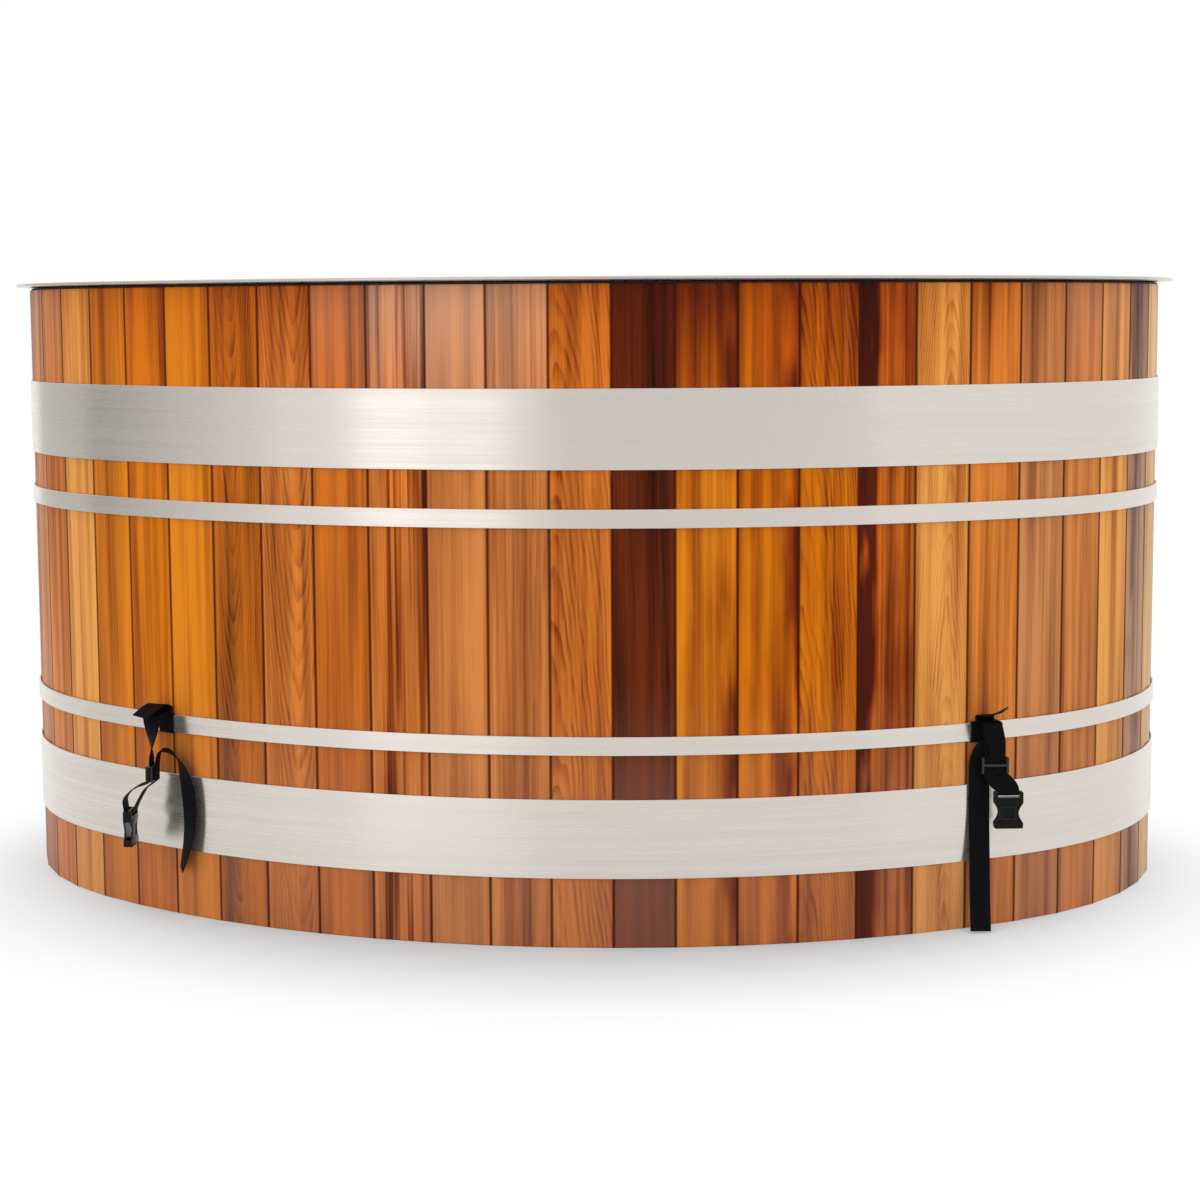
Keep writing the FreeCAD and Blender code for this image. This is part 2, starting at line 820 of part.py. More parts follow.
def make_valve_ball():
    """Bored ball, turned across the pipe while the valve is shut."""
    centre = Vector(0, -valve_middle_out, pipe_axis_height)
    across = Vector(1, 0, 0)
    ball = Part.makeSphere(ball_radius, centre, across)
    bore = Part.makeCylinder(ball_bore, 2 * ball_radius, centre - across * ball_radius, across)
    return seated(ball.cut(bore), rear_seat)


def make_valve_stem():
    """Stem from the ball up through the bonnet and the lever."""
    foot = Part.makeSphere(ball_radius, Vector(0, -valve_middle_out, pipe_axis_height))
    rod_up = upright(stem_radius, 0, -valve_middle_out, pipe_axis_height + ball_bore + stem_radius / 2,
                     lever_base + lever_thickness + lever_nut_height)
    return seated(rod_up.cut(foot), rear_seat)


def make_lever():
    """Flat lever on the stem, lying along the wall while the valve is shut, with its nut."""
    half = lever_width / 2
    grip = box(0, lever_length - half, -valve_middle_out - half, -valve_middle_out + half, lever_base,
               lever_base + lever_thickness)
    hub = upright(half + lever_clearance, 0, -valve_middle_out, lever_base, lever_base + lever_thickness)
    tip = upright(half, lever_length - half, -valve_middle_out, lever_base, lever_base + lever_thickness)
    nut = hexagon(lever_nut_flats, Vector(0, -valve_middle_out, lever_base + lever_thickness),
                  Vector(0, 0, 1), lever_nut_height)
    hole = upright(stem_radius, 0, -valve_middle_out, lever_base,
                   lever_base + lever_thickness + lever_nut_height)
    return seated(joined([grip, hub, tip, nut]).cut(hole), rear_seat)


# Cover straps
def shifted_route(route, radii, shift):
    """A route of (stand-off, height) points moved sideways, as lines of two points and arcs of three."""
    runs = []
    for (u0, z0), (u1, z1) in zip(route, route[1:]):
        length = math.hypot(u1 - u0, z1 - z0)
        runs.append(((u1 - u0) / length, (z1 - z0) / length))
    here = (route[0][0] - shift * runs[0][1], route[0][1] + shift * runs[0][0])
    pieces = []
    for (u, z), (au, az), (bu, bz), radius in zip(route[1:], runs, runs[1:], radii):
        turn = math.atan2(au * bz - az * bu, au * bu + az * bz)
        hand = math.copysign(1, turn)
        reach = radius * math.tan(abs(turn) / 2)
        centre = (u - au * reach - hand * radius * az, z - az * reach + hand * radius * au)
        size = radius - hand * shift
        enter = (centre[0] + hand * size * az, centre[1] - hand * size * au)
        leave = (centre[0] + hand * size * bz, centre[1] - hand * size * bu)
        span = math.hypot(u - centre[0], z - centre[1])
        crown = (centre[0] + (u - centre[0]) / span * size, centre[1] + (z - centre[1]) / span * size)
        pieces.append((here, enter))
        pieces.append((enter, crown, leave))
        here = leave
    last = (route[-1][0] - shift * runs[-1][1], route[-1][1] + shift * runs[-1][0])
    pieces.append((here, last))
    return pieces


def hanging_radii(route):
    """The largest arcs that the runs of a hanging route leave room for."""
    radii = []
    for (u0, z0), (u1, z1), (u2, z2) in zip(route, route[1:], route[2:]):
        first = math.hypot(u1 - u0, z1 - z0)
        second = math.hypot(u2 - u1, z2 - z1)
        cross = (u1 - u0) * (z2 - z1) - (z1 - z0) * (u2 - u1)
        turn = abs(math.asin(cross / first / second))
        radii.append(arc_share * min(first, second) / math.tan(turn / 2))
    return radii


def strip(route, radii, middle_x):
    """Webbing along a route with rounded corners, flat across its width."""
    half = webbing_thickness / 2
    sides = [shifted_route(route, radii, half), shifted_route(route, radii, -half)]
    ends = [(sides[0][0][0], sides[1][0][0]), (sides[0][-1][-1], sides[1][-1][-1])]
    x0 = middle_x - webbing_width / 2
    curves = []
    for piece in sides[0] + sides[1] + ends:
        points = [Vector(x0, -u, z) for u, z in piece]
        if len(points) == 3:
            curves.append(Part.Arc(*points).toShape())
        elif points[0].distanceToPoint(points[1]) > Part.Precision.confusion():
            curves.append(Part.makeLine(*points))
    wire = Part.Wire(Part.__sortEdges__(curves))
    return Part.Face(wire).extrude(Vector(webbing_width, 0, 0))


def strip_end(stand_off, z, middle_x):
    """The middle, width direction and thickness direction of hanging webbing at one height."""
    return Vector(middle_x, -stand_off, z), Vector(1, 0, 0), Vector(0, 1, 0)


def ribbon(start, end):
    """Webbing that twists from one strip's end to the next."""
    sections = []
    for k in range(ribbon_steps + 1):
        share = k / ribbon_steps
        spot, across, through = [a * (1 - share) + b * share for a, b in zip(start, end)]
        across = across.normalize() * (webbing_width / 2)
        through = through.normalize() * (webbing_thickness / 2)
        corners = [spot - across - through, spot + across - through, spot + across + through,
                   spot - across + through]
        sections.append(Part.makePolygon(corners + corners[:1]))
    return Part.makeLoft(sections, True, True)


def pivot(strap):
    """The point about which the hanging part of a strap is twisted."""
    return Vector(strap.offset, -strap.stand_off, fold_at)


def turned(shape, strap):
    """Twist a shape of the hanging part."""
    moved = shape.copy()
    moved.rotate(pivot(strap), Vector(0, 0, 1), strap.twist)
    return moved


def turned_end(end, strap):
    """Twist a strip's end in the same way."""
    twist = FreeCAD.Rotation(Vector(0, 0, 1), strap.twist)
    spot, across, through = end
    return (pivot(strap) + twist.multVec(spot - pivot(strap)), twist.multVec(across),
            twist.multVec(through))


fold_out = wrap_front + webbing_thickness + fold_radius
fold_at = wrap_top + webbing_clearance + webbing_thickness / 2 + fold_radius
bar_half = buckle_bar / 2
loop_radius = bar_half + webbing_clearance + webbing_thickness / 2


def make_wrap(strap):
    """Webbing closed round the hoop, pressed flat into the staves behind it."""
    half = webbing_width / 2
    pressed_back = pressed_clearance + pressed_thickness
    outer = box(-half, half, -wrap_front - webbing_thickness, pressed_back, wrap_base, wrap_top)
    inner = box(-half, half, -wrap_front, pressed_clearance, wrap_base + webbing_thickness,
                wrap_top - webbing_thickness)
    return seated(outer.cut(inner), strap_seat(strap))


def make_strand(strap):
    """Tab, fold and hanging webbing, down round the buckle's bar and back up towards the slide."""
    out = strap.stand_off
    bend_at = fold_at - fold_radius
    twist_top = bend_at - bend_radius - webbing_thickness
    straight_top = strap.adjuster_at + adjuster_height
    upper_route = [
        (fold_out + tab_reach, fold_at + fold_radius + strap.tab_rise),
        (fold_out - fold_radius, fold_at + fold_radius),
        (fold_out - fold_radius, bend_at),
        (out, bend_at),
        (out, twist_top),
    ]
    tight = fold_radius - webbing_clearance / 2
    upper = strip(upper_route, [tight, tight, bend_radius], strap.offset)
    twisted = ribbon(strip_end(out, twist_top, strap.offset),
                     turned_end(strip_end(out, straight_top, strap.offset), strap))
    slide_base = strap.adjuster_at - adjuster_height / 2
    straight = strip([(out, straight_top), (out, slide_base)], [], strap.offset)
    loop_x = strap.offset + strap.sway
    loop_out = out + strap.bow
    loop_back = loop_out - 2 * loop_radius
    loop_base = strap.bar_at - loop_radius
    loop_top = strap.bar_at + buckle_thickness / 2 + adjuster_clearance
    loop_route = [(loop_out, loop_top), (loop_out, loop_base), (loop_back, loop_base), (loop_back, loop_top)]
    round_bar = loop_radius - webbing_clearance / 2
    loop = strip(loop_route, [round_bar, round_bar], loop_x)
    down = ribbon(strip_end(out, slide_base, strap.offset), strip_end(loop_out, loop_top, loop_x))
    up = ribbon(strip_end(loop_back, loop_top, loop_x),
                strip_end(out - 2 * loop_radius, slide_base, strap.offset))
    lower = turned(joined([straight, down, loop, up]), strap)
    return seated(joined([upper, twisted, lower]), strap_seat(strap))


def make_tail(strap):
    """Free end of the webbing: on up behind the slide's middle bar, over, and down to hang."""
    start = strap.stand_off - 2 * loop_radius
    slide_base = strap.adjuster_at - adjuster_height / 2
    top = strap.adjuster_at + strap.arch_rise
    back = start - 2 * strap.arch_radius
    low = top - strap.arch_radius - arch_drop
    arch_route = [(start, slide_base), (start, top), (back, top), (back, low)]
    tight = strap.arch_radius - webbing_clearance / 2
    arch = turned(strip(arch_route, [tight, tight], strap.offset), strap)
    route = strap.hanging_route
    radii = hanging_radii(route)
    print(strap.name, "tail radii", [round(radius) for radius in radii])
    hanging = strip(route, radii, strap.tail_offset)
    (out0, z0), (out1, z1) = route[:2]
    length = math.hypot(out1 - out0, z1 - z0)
    spot, across, _ = strip_end(out0, z0, strap.tail_offset)
    through = Vector(0, (z0 - z1) / length, (out0 - out1) / length)
    for axis, angle in ((Vector(0, 0, 1), strap.tail_twist), (Vector(0, 1, 0), strap.tail_lean)):
        hanging.rotate(spot, axis, angle)
        across = FreeCAD.Rotation(axis, angle).multVec(across)
        through = FreeCAD.Rotation(axis, angle).multVec(through)
    twisted = ribbon(turned_end(strip_end(back, low, strap.offset), strap), (spot, across, through))
    return seated(joined([arch, twisted, hanging]), strap_seat(strap))


def make_adjuster(strap):
    """Three-bar slide: bars before and behind the webbing, joined by side rails."""
    half = webbing_width / 2 + adjuster_clearance
    rail = half + adjuster_bar
    near = webbing_thickness / 2 + adjuster_clearance
    far = near + adjuster_bar
    z = strap.adjuster_at
    tall = adjuster_height / 2
    x = strap.offset
    y = -strap.stand_off
    pieces = [
        box(x - rail, x - half, y - far, y + far, z - tall, z + tall),
        box(x + half, x + rail, y - far, y + far, z - tall, z + tall),
        box(x - rail, x + rail, y - far, y - near, z + tall - adjuster_bar, z + tall),
        box(x - rail, x + rail, y - far, y - near, z - tall, z - tall + adjuster_bar),
        box(x - rail, x + rail, y + near, y + far, z - adjuster_bar / 2, z + adjuster_bar / 2),
    ]
    return seated(turned(joined(pieces), strap), strap_seat(strap))


def buckle_outline(x, y, top):
    """The buckle's face: straight shoulders, a waist on each side and a straight collar."""
    base = top - buckle_length
    half = buckle_width / 2
    waist = buckle_waist / 2
    shoulder = top - buckle_bar - buckle_slot - buckle_stop / 2
    collar = base + buckle_stop / 2
    narrow = (shoulder + collar) / 2
    corners = [
        Vector(x + half, y, shoulder),
        Vector(x + half, y, top),
        Vector(x - half, y, top),
        Vector(x - half, y, shoulder),
        Vector(x - half, y, collar),
        Vector(x - half, y, base),
        Vector(x + half, y, base),
        Vector(x + half, y, collar),
    ]
    edges = [Part.makeLine(a, b) for a, b in zip(corners[:3], corners[1:4])]
    edges.append(Part.Arc(corners[3], Vector(x - waist, y, narrow), corners[4]).toShape())
    edges += [Part.makeLine(a, b) for a, b in zip(corners[4:7], corners[5:8])]
    edges.append(Part.Arc(corners[7], Vector(x + waist, y, narrow), corners[0]).toShape())
    return Part.Face(Part.Wire(edges)), shoulder, collar


def make_buckle(strap):
    """Socket half of a side-release buckle: a bar for the webbing, a waist and an open mouth."""
    x = strap.offset + strap.sway
    y = loop_radius - strap.stand_off - strap.bow
    top = strap.bar_at + bar_half
    deep = buckle_thickness / 2
    face, shoulder, collar = buckle_outline(x, y - deep, top)
    body = face.extrude(Vector(0, buckle_thickness, 0))
    inside = webbing_width / 2 + adjuster_clearance
    slot_base = top - buckle_bar - buckle_slot
    bar_zone = box(x - inside, x + inside, y - deep, y + deep, slot_base, top)
    bar = Part.makeCylinder(bar_half, 2 * inside, Vector(x - inside, y, strap.bar_at), Vector(1, 0, 0))
    body = joined([body.cut(bar_zone), bar])
    hollow = deep - buckle_wall
    half_mouth = buckle_waist / 2 - buckle_wall
    mouth = box(x - half_mouth, x + half_mouth, y - hollow, y + hollow, top - buckle_length,
                slot_base - buckle_wall)
    windows = box(x - buckle_width, x + buckle_width, y - hollow, y + hollow, collar, shoulder)
    return seated(turned(body.cut([mouth, windows]), strap), strap_seat(strap))


def write_parts():
    """Build every node and write it."""
    nodes = make_staves()
    nodes["wall_insulation"] = make_wall_insulation()
    nodes["floor_joists"] = make_floor_joists()
    nodes["floor_deck"] = make_floor_deck()
    nodes["floor_insulation"] = make_floor_insulation()
    nodes["liner_floor"] = make_liner_floor()
    nodes["liner_wall"] = make_liner_wall()
    nodes["rim_seal"] = make_rim_seal()
    nodes["rim_flange"] = oval_sweep(rim_section)
    lugs = []
    bolts = []
    nuts = []
    for band in bands:
        nodes[band.node] = make_band(band)
        lugs += make_lugs(band)
        more_bolts, more_nuts = make_draw_bolts(band)
        bolts += more_bolts
        nuts += more_nuts
    nodes["band_lugs"] = Part.makeCompound(lugs)
    nodes["band_bolts"] = Part.makeCompound(bolts)
    nodes["band_nuts"] = Part.makeCompound(nuts)
    nodes["suction_body"] = make_fitting_body(suction_height, fitting_bore)
    nodes["suction_grille"] = make_suction_grille()
    nodes["return_body"] = make_return_body()
    nodes["return_ring"] = make_return_ring()
    nodes["return_nozzle"] = make_return_nozzle()
    for name, height in (("suction", suction_height), ("return", return_height)):
        nodes[name + "_gasket"] = make_fitting_gasket(height)
        nodes[name + "_locknut"] = make_locknut(height)
        nodes[name + "_tail"] = hose_tail(fitting_outside, height)
    nodes["drain_body"] = make_drain_body()
    nodes["drain_gasket"] = make_drain_gasket()
    nodes["drain_locknut"] = make_drain_locknut()
    nodes["drain_strainer"] = make_drain_strainer()
    nodes["drain_elbow"] = make_drain_elbow()
    nodes["drain_pipe"] = make_drain_pipe()
    nodes["drain_valve_body"] = make_valve_body()
    nodes["drain_valve_ball"] = make_valve_ball()
    nodes["drain_valve_stem"] = make_valve_stem()
    nodes["drain_lever"] = make_lever()
    nodes["drain_tail"] = hose_tail(valve_end_out, pipe_axis_height)
    for strap in straps:
        nodes[strap.name + "_wrap"] = make_wrap(strap)
        nodes[strap.name + "_strand"] = make_strand(strap)
        nodes[strap.name + "_adjuster"] = make_adjuster(strap)
        nodes[strap.name + "_tail"] = make_tail(strap)
        nodes[strap.name + "_buckle"] = make_buckle(strap)
    os.makedirs("parts", exist_ok=True)
    for name, shape in nodes.items():
        shape.exportStep(os.path.join("parts", name + ".step"))
        size = shape.BoundBox
        print(f"{name}: {len(shape.Solids)} solids, valid {shape.isValid()}, {shape.Volume / 1000:.1f} cm3, "
              f"{size.XLength:.1f} x {size.YLength:.1f} x {size.ZLength:.1f} mm")


write_parts()
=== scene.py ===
"""Oval cold plunge tub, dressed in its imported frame.

Cedar staves, brushed steel bands, rim and liner, woven cover straps and the plumbing at the rear.
Metres, +Z up, the front faces -Y. Angles round the oval run from -Y towards +X.
"""

import logging
import math
import random
from dataclasses import dataclass
from enum import Enum
from typing import Callable, Sequence

import bmesh
import bpy
from bpy.types import Material, Node, NodeSocket, NodeTree, Object
from mathutils import Matrix, Vector


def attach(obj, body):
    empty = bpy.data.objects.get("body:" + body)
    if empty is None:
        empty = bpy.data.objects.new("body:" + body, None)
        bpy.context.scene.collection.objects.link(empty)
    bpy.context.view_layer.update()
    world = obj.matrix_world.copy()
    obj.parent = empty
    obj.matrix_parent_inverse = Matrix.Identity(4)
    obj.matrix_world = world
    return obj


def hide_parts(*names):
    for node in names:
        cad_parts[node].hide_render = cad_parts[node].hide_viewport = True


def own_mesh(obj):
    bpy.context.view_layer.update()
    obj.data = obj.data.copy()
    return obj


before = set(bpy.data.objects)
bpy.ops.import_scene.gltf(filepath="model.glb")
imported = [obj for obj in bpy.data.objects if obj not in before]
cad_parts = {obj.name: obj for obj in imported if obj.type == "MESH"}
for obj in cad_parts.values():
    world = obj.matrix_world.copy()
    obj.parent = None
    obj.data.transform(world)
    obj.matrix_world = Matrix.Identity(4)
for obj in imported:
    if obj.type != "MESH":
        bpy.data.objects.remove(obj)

MM = 0.001
TUB = "tub"
UP = Vector((0, 0, 1))
REARWARD = Vector((0, 1, 0))
# Corners nearer to each other than this are one.
MERGE = 0.004 * MM
# A direction whose cosine is past this runs along the axis.
ALIGNED = 0.9
# Corners this near to a height are on it.
ON_LEVEL = 0.05 * MM
log = logging.getLogger("cold_plunge_tub")

# A material's sockets by name, and the settings that many nodes share.
Sockets = dict[str, NodeSocket]
SOFT = {"interpolation_type": "SMOOTHSTEP"}
BLEND = {"out": 2, "data_type": "RGBA"}


def mm(*sizes: float) -> tuple[float, ...]:
    """Turn millimetres to metres."""
    return tuple(size * MM for size in sizes)


# Bench
class Element(Enum):
    """What a pick selects: its selection mode and its list in a mesh."""

    FACE = ("FACE", "faces")
    EDGE = ("EDGE", "edges")
    CORNER = ("VERT", "verts")


def let_go() -> None:
    """Leave edit mode and select nothing."""
    if bpy.context.mode != "OBJECT":
        bpy.ops.object.mode_set(mode="OBJECT")
    bpy.ops.object.select_all(action="DESELECT")


def take(*objs: Object) -> None:
    """Select these objects alone.

    Args:
        objs: The objects, the active one first.
    """
    let_go()
    for obj in objs:
        obj.select_set(True)
    bpy.context.view_layer.objects.active = objs[0]


def open_up(obj: Object, action: str = "SELECT") -> None:
    """Take one object into edit mode.

    Args:
        obj: The object.
        action: Whether everything in it is selected or nothing.
    """
    take(obj)
    bpy.ops.object.mode_set(mode="EDIT")
    bpy.ops.mesh.select_mode(type="VERT")
    bpy.ops.mesh.select_all(action=action)


def pick(obj: Object, element: Element, test: Callable[[Vector, Vector], bool]) -> None:
    """Select parts of the object in edit mode by where they are.

    Args:
        obj: The object in edit mode.
        element: What to select.
        test: Called with the middle and the normal of a face or a corner, or the middle and the
            direction of an edge.
    """
    mode, kind = element.value
    bpy.ops.mesh.select_mode(type=mode)
    bpy.ops.mesh.select_all(action="DESELECT")
    mesh = bmesh.from_edit_mesh(obj.data)
    mesh.normal_update()
    for item in getattr(mesh, kind):
        if element is Element.FACE:
            facts = (item.calc_center_median(), item.normal)
        elif element is Element.EDGE:
            a, b = (corner.co for corner in item.verts)
            facts = ((a + b) / 2, (b - a).normalized())
        else:
            facts = (item.co, item.normal)
        if test(*facts):
            item.select_set(True)
    mesh.select_flush_mode()
    bmesh.update_edit_mesh(obj.data)


def block(size: Sequence[float], at: Sequence[float], rounding: float = 0.0,
          steps: int = 2) -> Object:
    """A box with all its edges rounded.

    Args:
        size: Its three sides.
        at: Its middle.
        rounding: How much is taken off each edge.
        steps: Facets across each rounding.

    Returns:
        The new object.
    """
    let_go()
    bpy.ops.mesh.primitive_cube_add(size=1, location=at, scale=size)
    obj = bpy.context.object
    bpy.ops.object.transform_apply()
    if rounding:
        open_up(obj)
        bpy.ops.mesh.bevel(offset=rounding, segments=steps, affect="EDGES")
        let_go()
    return obj


def rod(radius: float, start: Vector, end: Vector, sides: int = 48) -> Object:
    """A round bar between two points, for joining to a piece or cutting from one.

    Args:
        radius: Its radius.
        start: One end.
        end: The other end.
        sides: Facets round it.

    Returns:
        The new object.
    """
    let_go()
    along = end - start
    bpy.ops.mesh.primitive_cylinder_add(vertices=sides, radius=radius, depth=along.length,
                                        location=(start + end) / 2,
                                        rotation=UP.rotation_difference(along).to_euler())
    obj = bpy.context.object
    bpy.ops.object.transform_apply()
    return obj


def finish_with(obj: Object, kind: str, **settings: object) -> None:
    """Add a modifier and apply it.

    Args:
        obj: The object.
        kind: The modifier's type.
        settings: Its settings.
    """
    take(obj)
    step = obj.modifiers.new(kind.lower(), kind)
    for name, value in settings.items():
        setattr(step, name, value)
    bpy.ops.object.modifier_apply(modifier=step.name)


def combine(obj: Object, tool: Object, how: str) -> None:
    """Join or cut with another object, which is used up.

    Args:
        obj: The object that changes.
        tool: The object joined to it or cut from it.
        how: The boolean operation.
    """
    finish_with(obj, "BOOLEAN", operation=how, solver="EXACT", object=tool)
    bpy.data.meshes.remove(tool.data)


def ease(obj: Object, rounding: float = 0.7 * MM, degrees: float = 50.0) -> None:
    """Round a moulded piece's edges where they are sharper than the angle."""
    finish_with(obj, "BEVEL", width=rounding, segments=3, limit_method="ANGLE",
                angle_limit=math.radians(degrees))


def clean(obj: Object) -> None:
    """Merge doubled corners and turn the faces outwards.

    Args:
        obj: The object.
    """
    open_up(obj)
    bpy.ops.mesh.remove_doubles(threshold=MERGE)
    bpy.ops.mesh.normals_make_consistent(inside=False)
    let_go()


def smooth(obj: Object, degrees: float = 30.0) -> None:
    """Shade smooth, with edges sharper than the angle kept crisp."""
    take(obj)
    bpy.ops.object.shade_smooth_by_angle(angle=math.radians(degrees))


def mark_glint_and_wear(obj: Object, width: float = 0.6 * MM) -> None:
    """Mark the narrow faces of rounded edges, for a painted highlight with the wear of handling.

    Args:
        obj: The object.
        width: Faces narrower than this are marked.
    """
    mesh = obj.data
    glint_and_wear = []
    for face in mesh.polygons:
        corners = [mesh.vertices[k].co for k in face.vertices]
        longest = max((a - b).length for a, b in zip(corners, corners[1:] + corners[:1]))
        glint_and_wear.append(float(face.area < width * longest))
    mesh.attributes.new("glint_and_wear", "FLOAT", "FACE").data.foreach_set("value", glint_and_wear)


def trace(points: Sequence[Vector]) -> Object:
    """Draw a closed line of edges by extruding one corner from point to point.

    Args:
        points: The corners in order.

    Returns:
        The new object.
    """
    let_go()
    bpy.ops.mesh.primitive_plane_add(size=MM, location=points[0])
    obj = bpy.context.object
    bpy.ops.object.transform_apply()
    open_up(obj)
    bpy.ops.mesh.merge(type="CENTER")
    for a, b in zip(points, [*points[1:], points[0]]):
        bpy.ops.mesh.extrude_region_move(TRANSFORM_OT_translate={"value": b - a})
    bpy.ops.mesh.select_all(action="SELECT")
    bpy.ops.mesh.remove_doubles(threshold=MERGE)
    let_go()
    return obj


def hand_over(obj: Object, name: str, body: str, slot: str, material: Material,
              *nodes: str) -> None:
    """Name a finished piece, give it its finish and set it on its body.

    Args:
        obj: The piece, in place.
        name: Its name.
        body: The body that it rides on.
        slot: The record's material slot; it is not used.
        material: Its finish.
        nodes: The nodes that it stands for.
    """
    take(obj)
    bpy.ops.object.transform_apply()
    obj.name = obj.data.name = name
    obj.data.materials.clear()
    obj.data.materials.append(material)
    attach(obj, body)
    if nodes:
        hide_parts(*nodes)
    log.info("%s: %d faces on %s", name, len(obj.data.polygons), body)


def dress(material: Material, *names: str) -> None:
    """Give nodes whose shape is right their finish.

    Args:
        material: The finish.
        names: The nodes.
    """
    for name in names:
        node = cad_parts[name]
        if not node.material_slots:
            node.data.materials.append(material)
        for slot in node.material_slots:
            slot.material = material
        log.info("%s: dressed in %s", name, material.name)


# Finishes
def linear(code: str) -> tuple[float, float, float, float]:
    """Turn an sRGB hex colour to linear light.

    Args:
        code: Six hex digits after a hash.

    Returns:
        Red, green, blue and an alpha of 1.
    """
    shades = [int(code[k:k + 2], 16) / 255 for k in (1, 3, 5)]
    return (*[s / 12.92 if s <= 0.04045 else ((s + 0.055) / 1.055) ** 2.4 for s in shades], 1.0)


def plug(tree: NodeTree, node: Node, into: dict) -> None:
    """Set or link a node's inputs.

    Args:
        tree: The node tree.
        node: The node.
        into: Values or sockets by input.
    """
    for key, value in into.items():
        if isinstance(value, NodeSocket):
            tree.links.new(value, node.inputs[key])
        else:
            node.inputs[key].default_value = value


def add(tree: NodeTree, kind: str, into: dict | None = None, out: int | str = 0,
        **settings: object) -> NodeSocket:
    """Add a node with its settings and links.

    Args:
        tree: The node tree.
        kind: The node's type without its prefix.
        into: Values or sockets by input.
        out: The output that is wanted.
        settings: The node's own settings.

    Returns:
        That output socket.
    """
    node = tree.nodes.new("ShaderNode" + kind)
    for name, value in settings.items():
        setattr(node, name, value)
    plug(tree, node, into or {})
    return node.outputs[out]


def new_material(name: str) -> tuple[Material, NodeTree, Node]:
    """Start a material.

    Args:
        name: Its name.

    Returns:
        The material, its tree and its Principled shader.
    """
    material = bpy.data.materials.new(name)
    material.use_nodes = True
    return material, material.node_tree, material.node_tree.nodes["Principled BSDF"]


class CedarTone(Enum):
    """Western red cedar colours, from sapwood to the darkest heart: earlywood and latewood."""

    STRAW = ("#EDC58C", "#B27838")
    HONEY = ("#EBA14F", "#A05416")
    GOLD = ("#DE8214", "#904206")
    AMBER = ("#D87704", "#803203")
    ORANGE = ("#D47828", "#82360A")
    CINNAMON = ("#DE8234", "#7A3810")
    RUSSET = ("#CE6E1D", "#6E2806")
    TAN = ("#D68442", "#83401A")
    BROWN = ("#C46810", "#481B04")
    ROSE = ("#CE864F", "#733A1F")
    MAUVE = ("#BC8C6C", "#54382C")
    CHOCOLATE = ("#6C2908", "#220902")


class Cut(Enum):
    """How a stave lay in the log.

    Side and depth of the pith from the face, rise of the rings along the stave, how far they waver,
    their spacing, and how strongly they show. Lengths are in millimetres.
    """

    CATHEDRAL = (10, 14, 0.085, 7.0, 3.5, 0.46)
    WAVY = (34, 26, 0.08, 11.0, 4.2, 0.62)
    RIFT = (62, 50, 0.020, 5.0, 4.2, 0.22)
    STRAIGHT = (230, 60, 0.004, 3.0, 5.0, 0.13)


class Stain(Enum):
    """Dark marks in the heartwood: towards one edge, in patches, in streaks, and at the top, where painted
    shade under the rim joins the stain.

    A top below zero is a painted glare instead, pale towards the board's top.
    """

    NONE = (0.0, 0.0, 0.0, 0.0)
    RIGHT_EDGE = (0.9, 0.25, 0.0, 0.16)
    SCORCHED = (0.8, 0.2, 0.0, 0.5)
    BURNT = (-2.2, 0.35, 0.5, 0.08)
    PATCHES = (0.0, 0.6, 0.1, 0.15)
    STREAKS = (0.0, 0.1, 0.9, -0.42)
    LINES = (0.0, 0.0, 0.3, -0.3)
    # A dark top is partly stain and partly painted shade under the rim.
    DARK_TOP = (0.0, 0.1, 0.1, 0.1)
    # These pale tops are a painted glare.
    PALE_TOP = (0.0, 0.0, 0.0, -0.4)
    FADED_TOP = (0.0, 0.0, 0.0, -0.13)


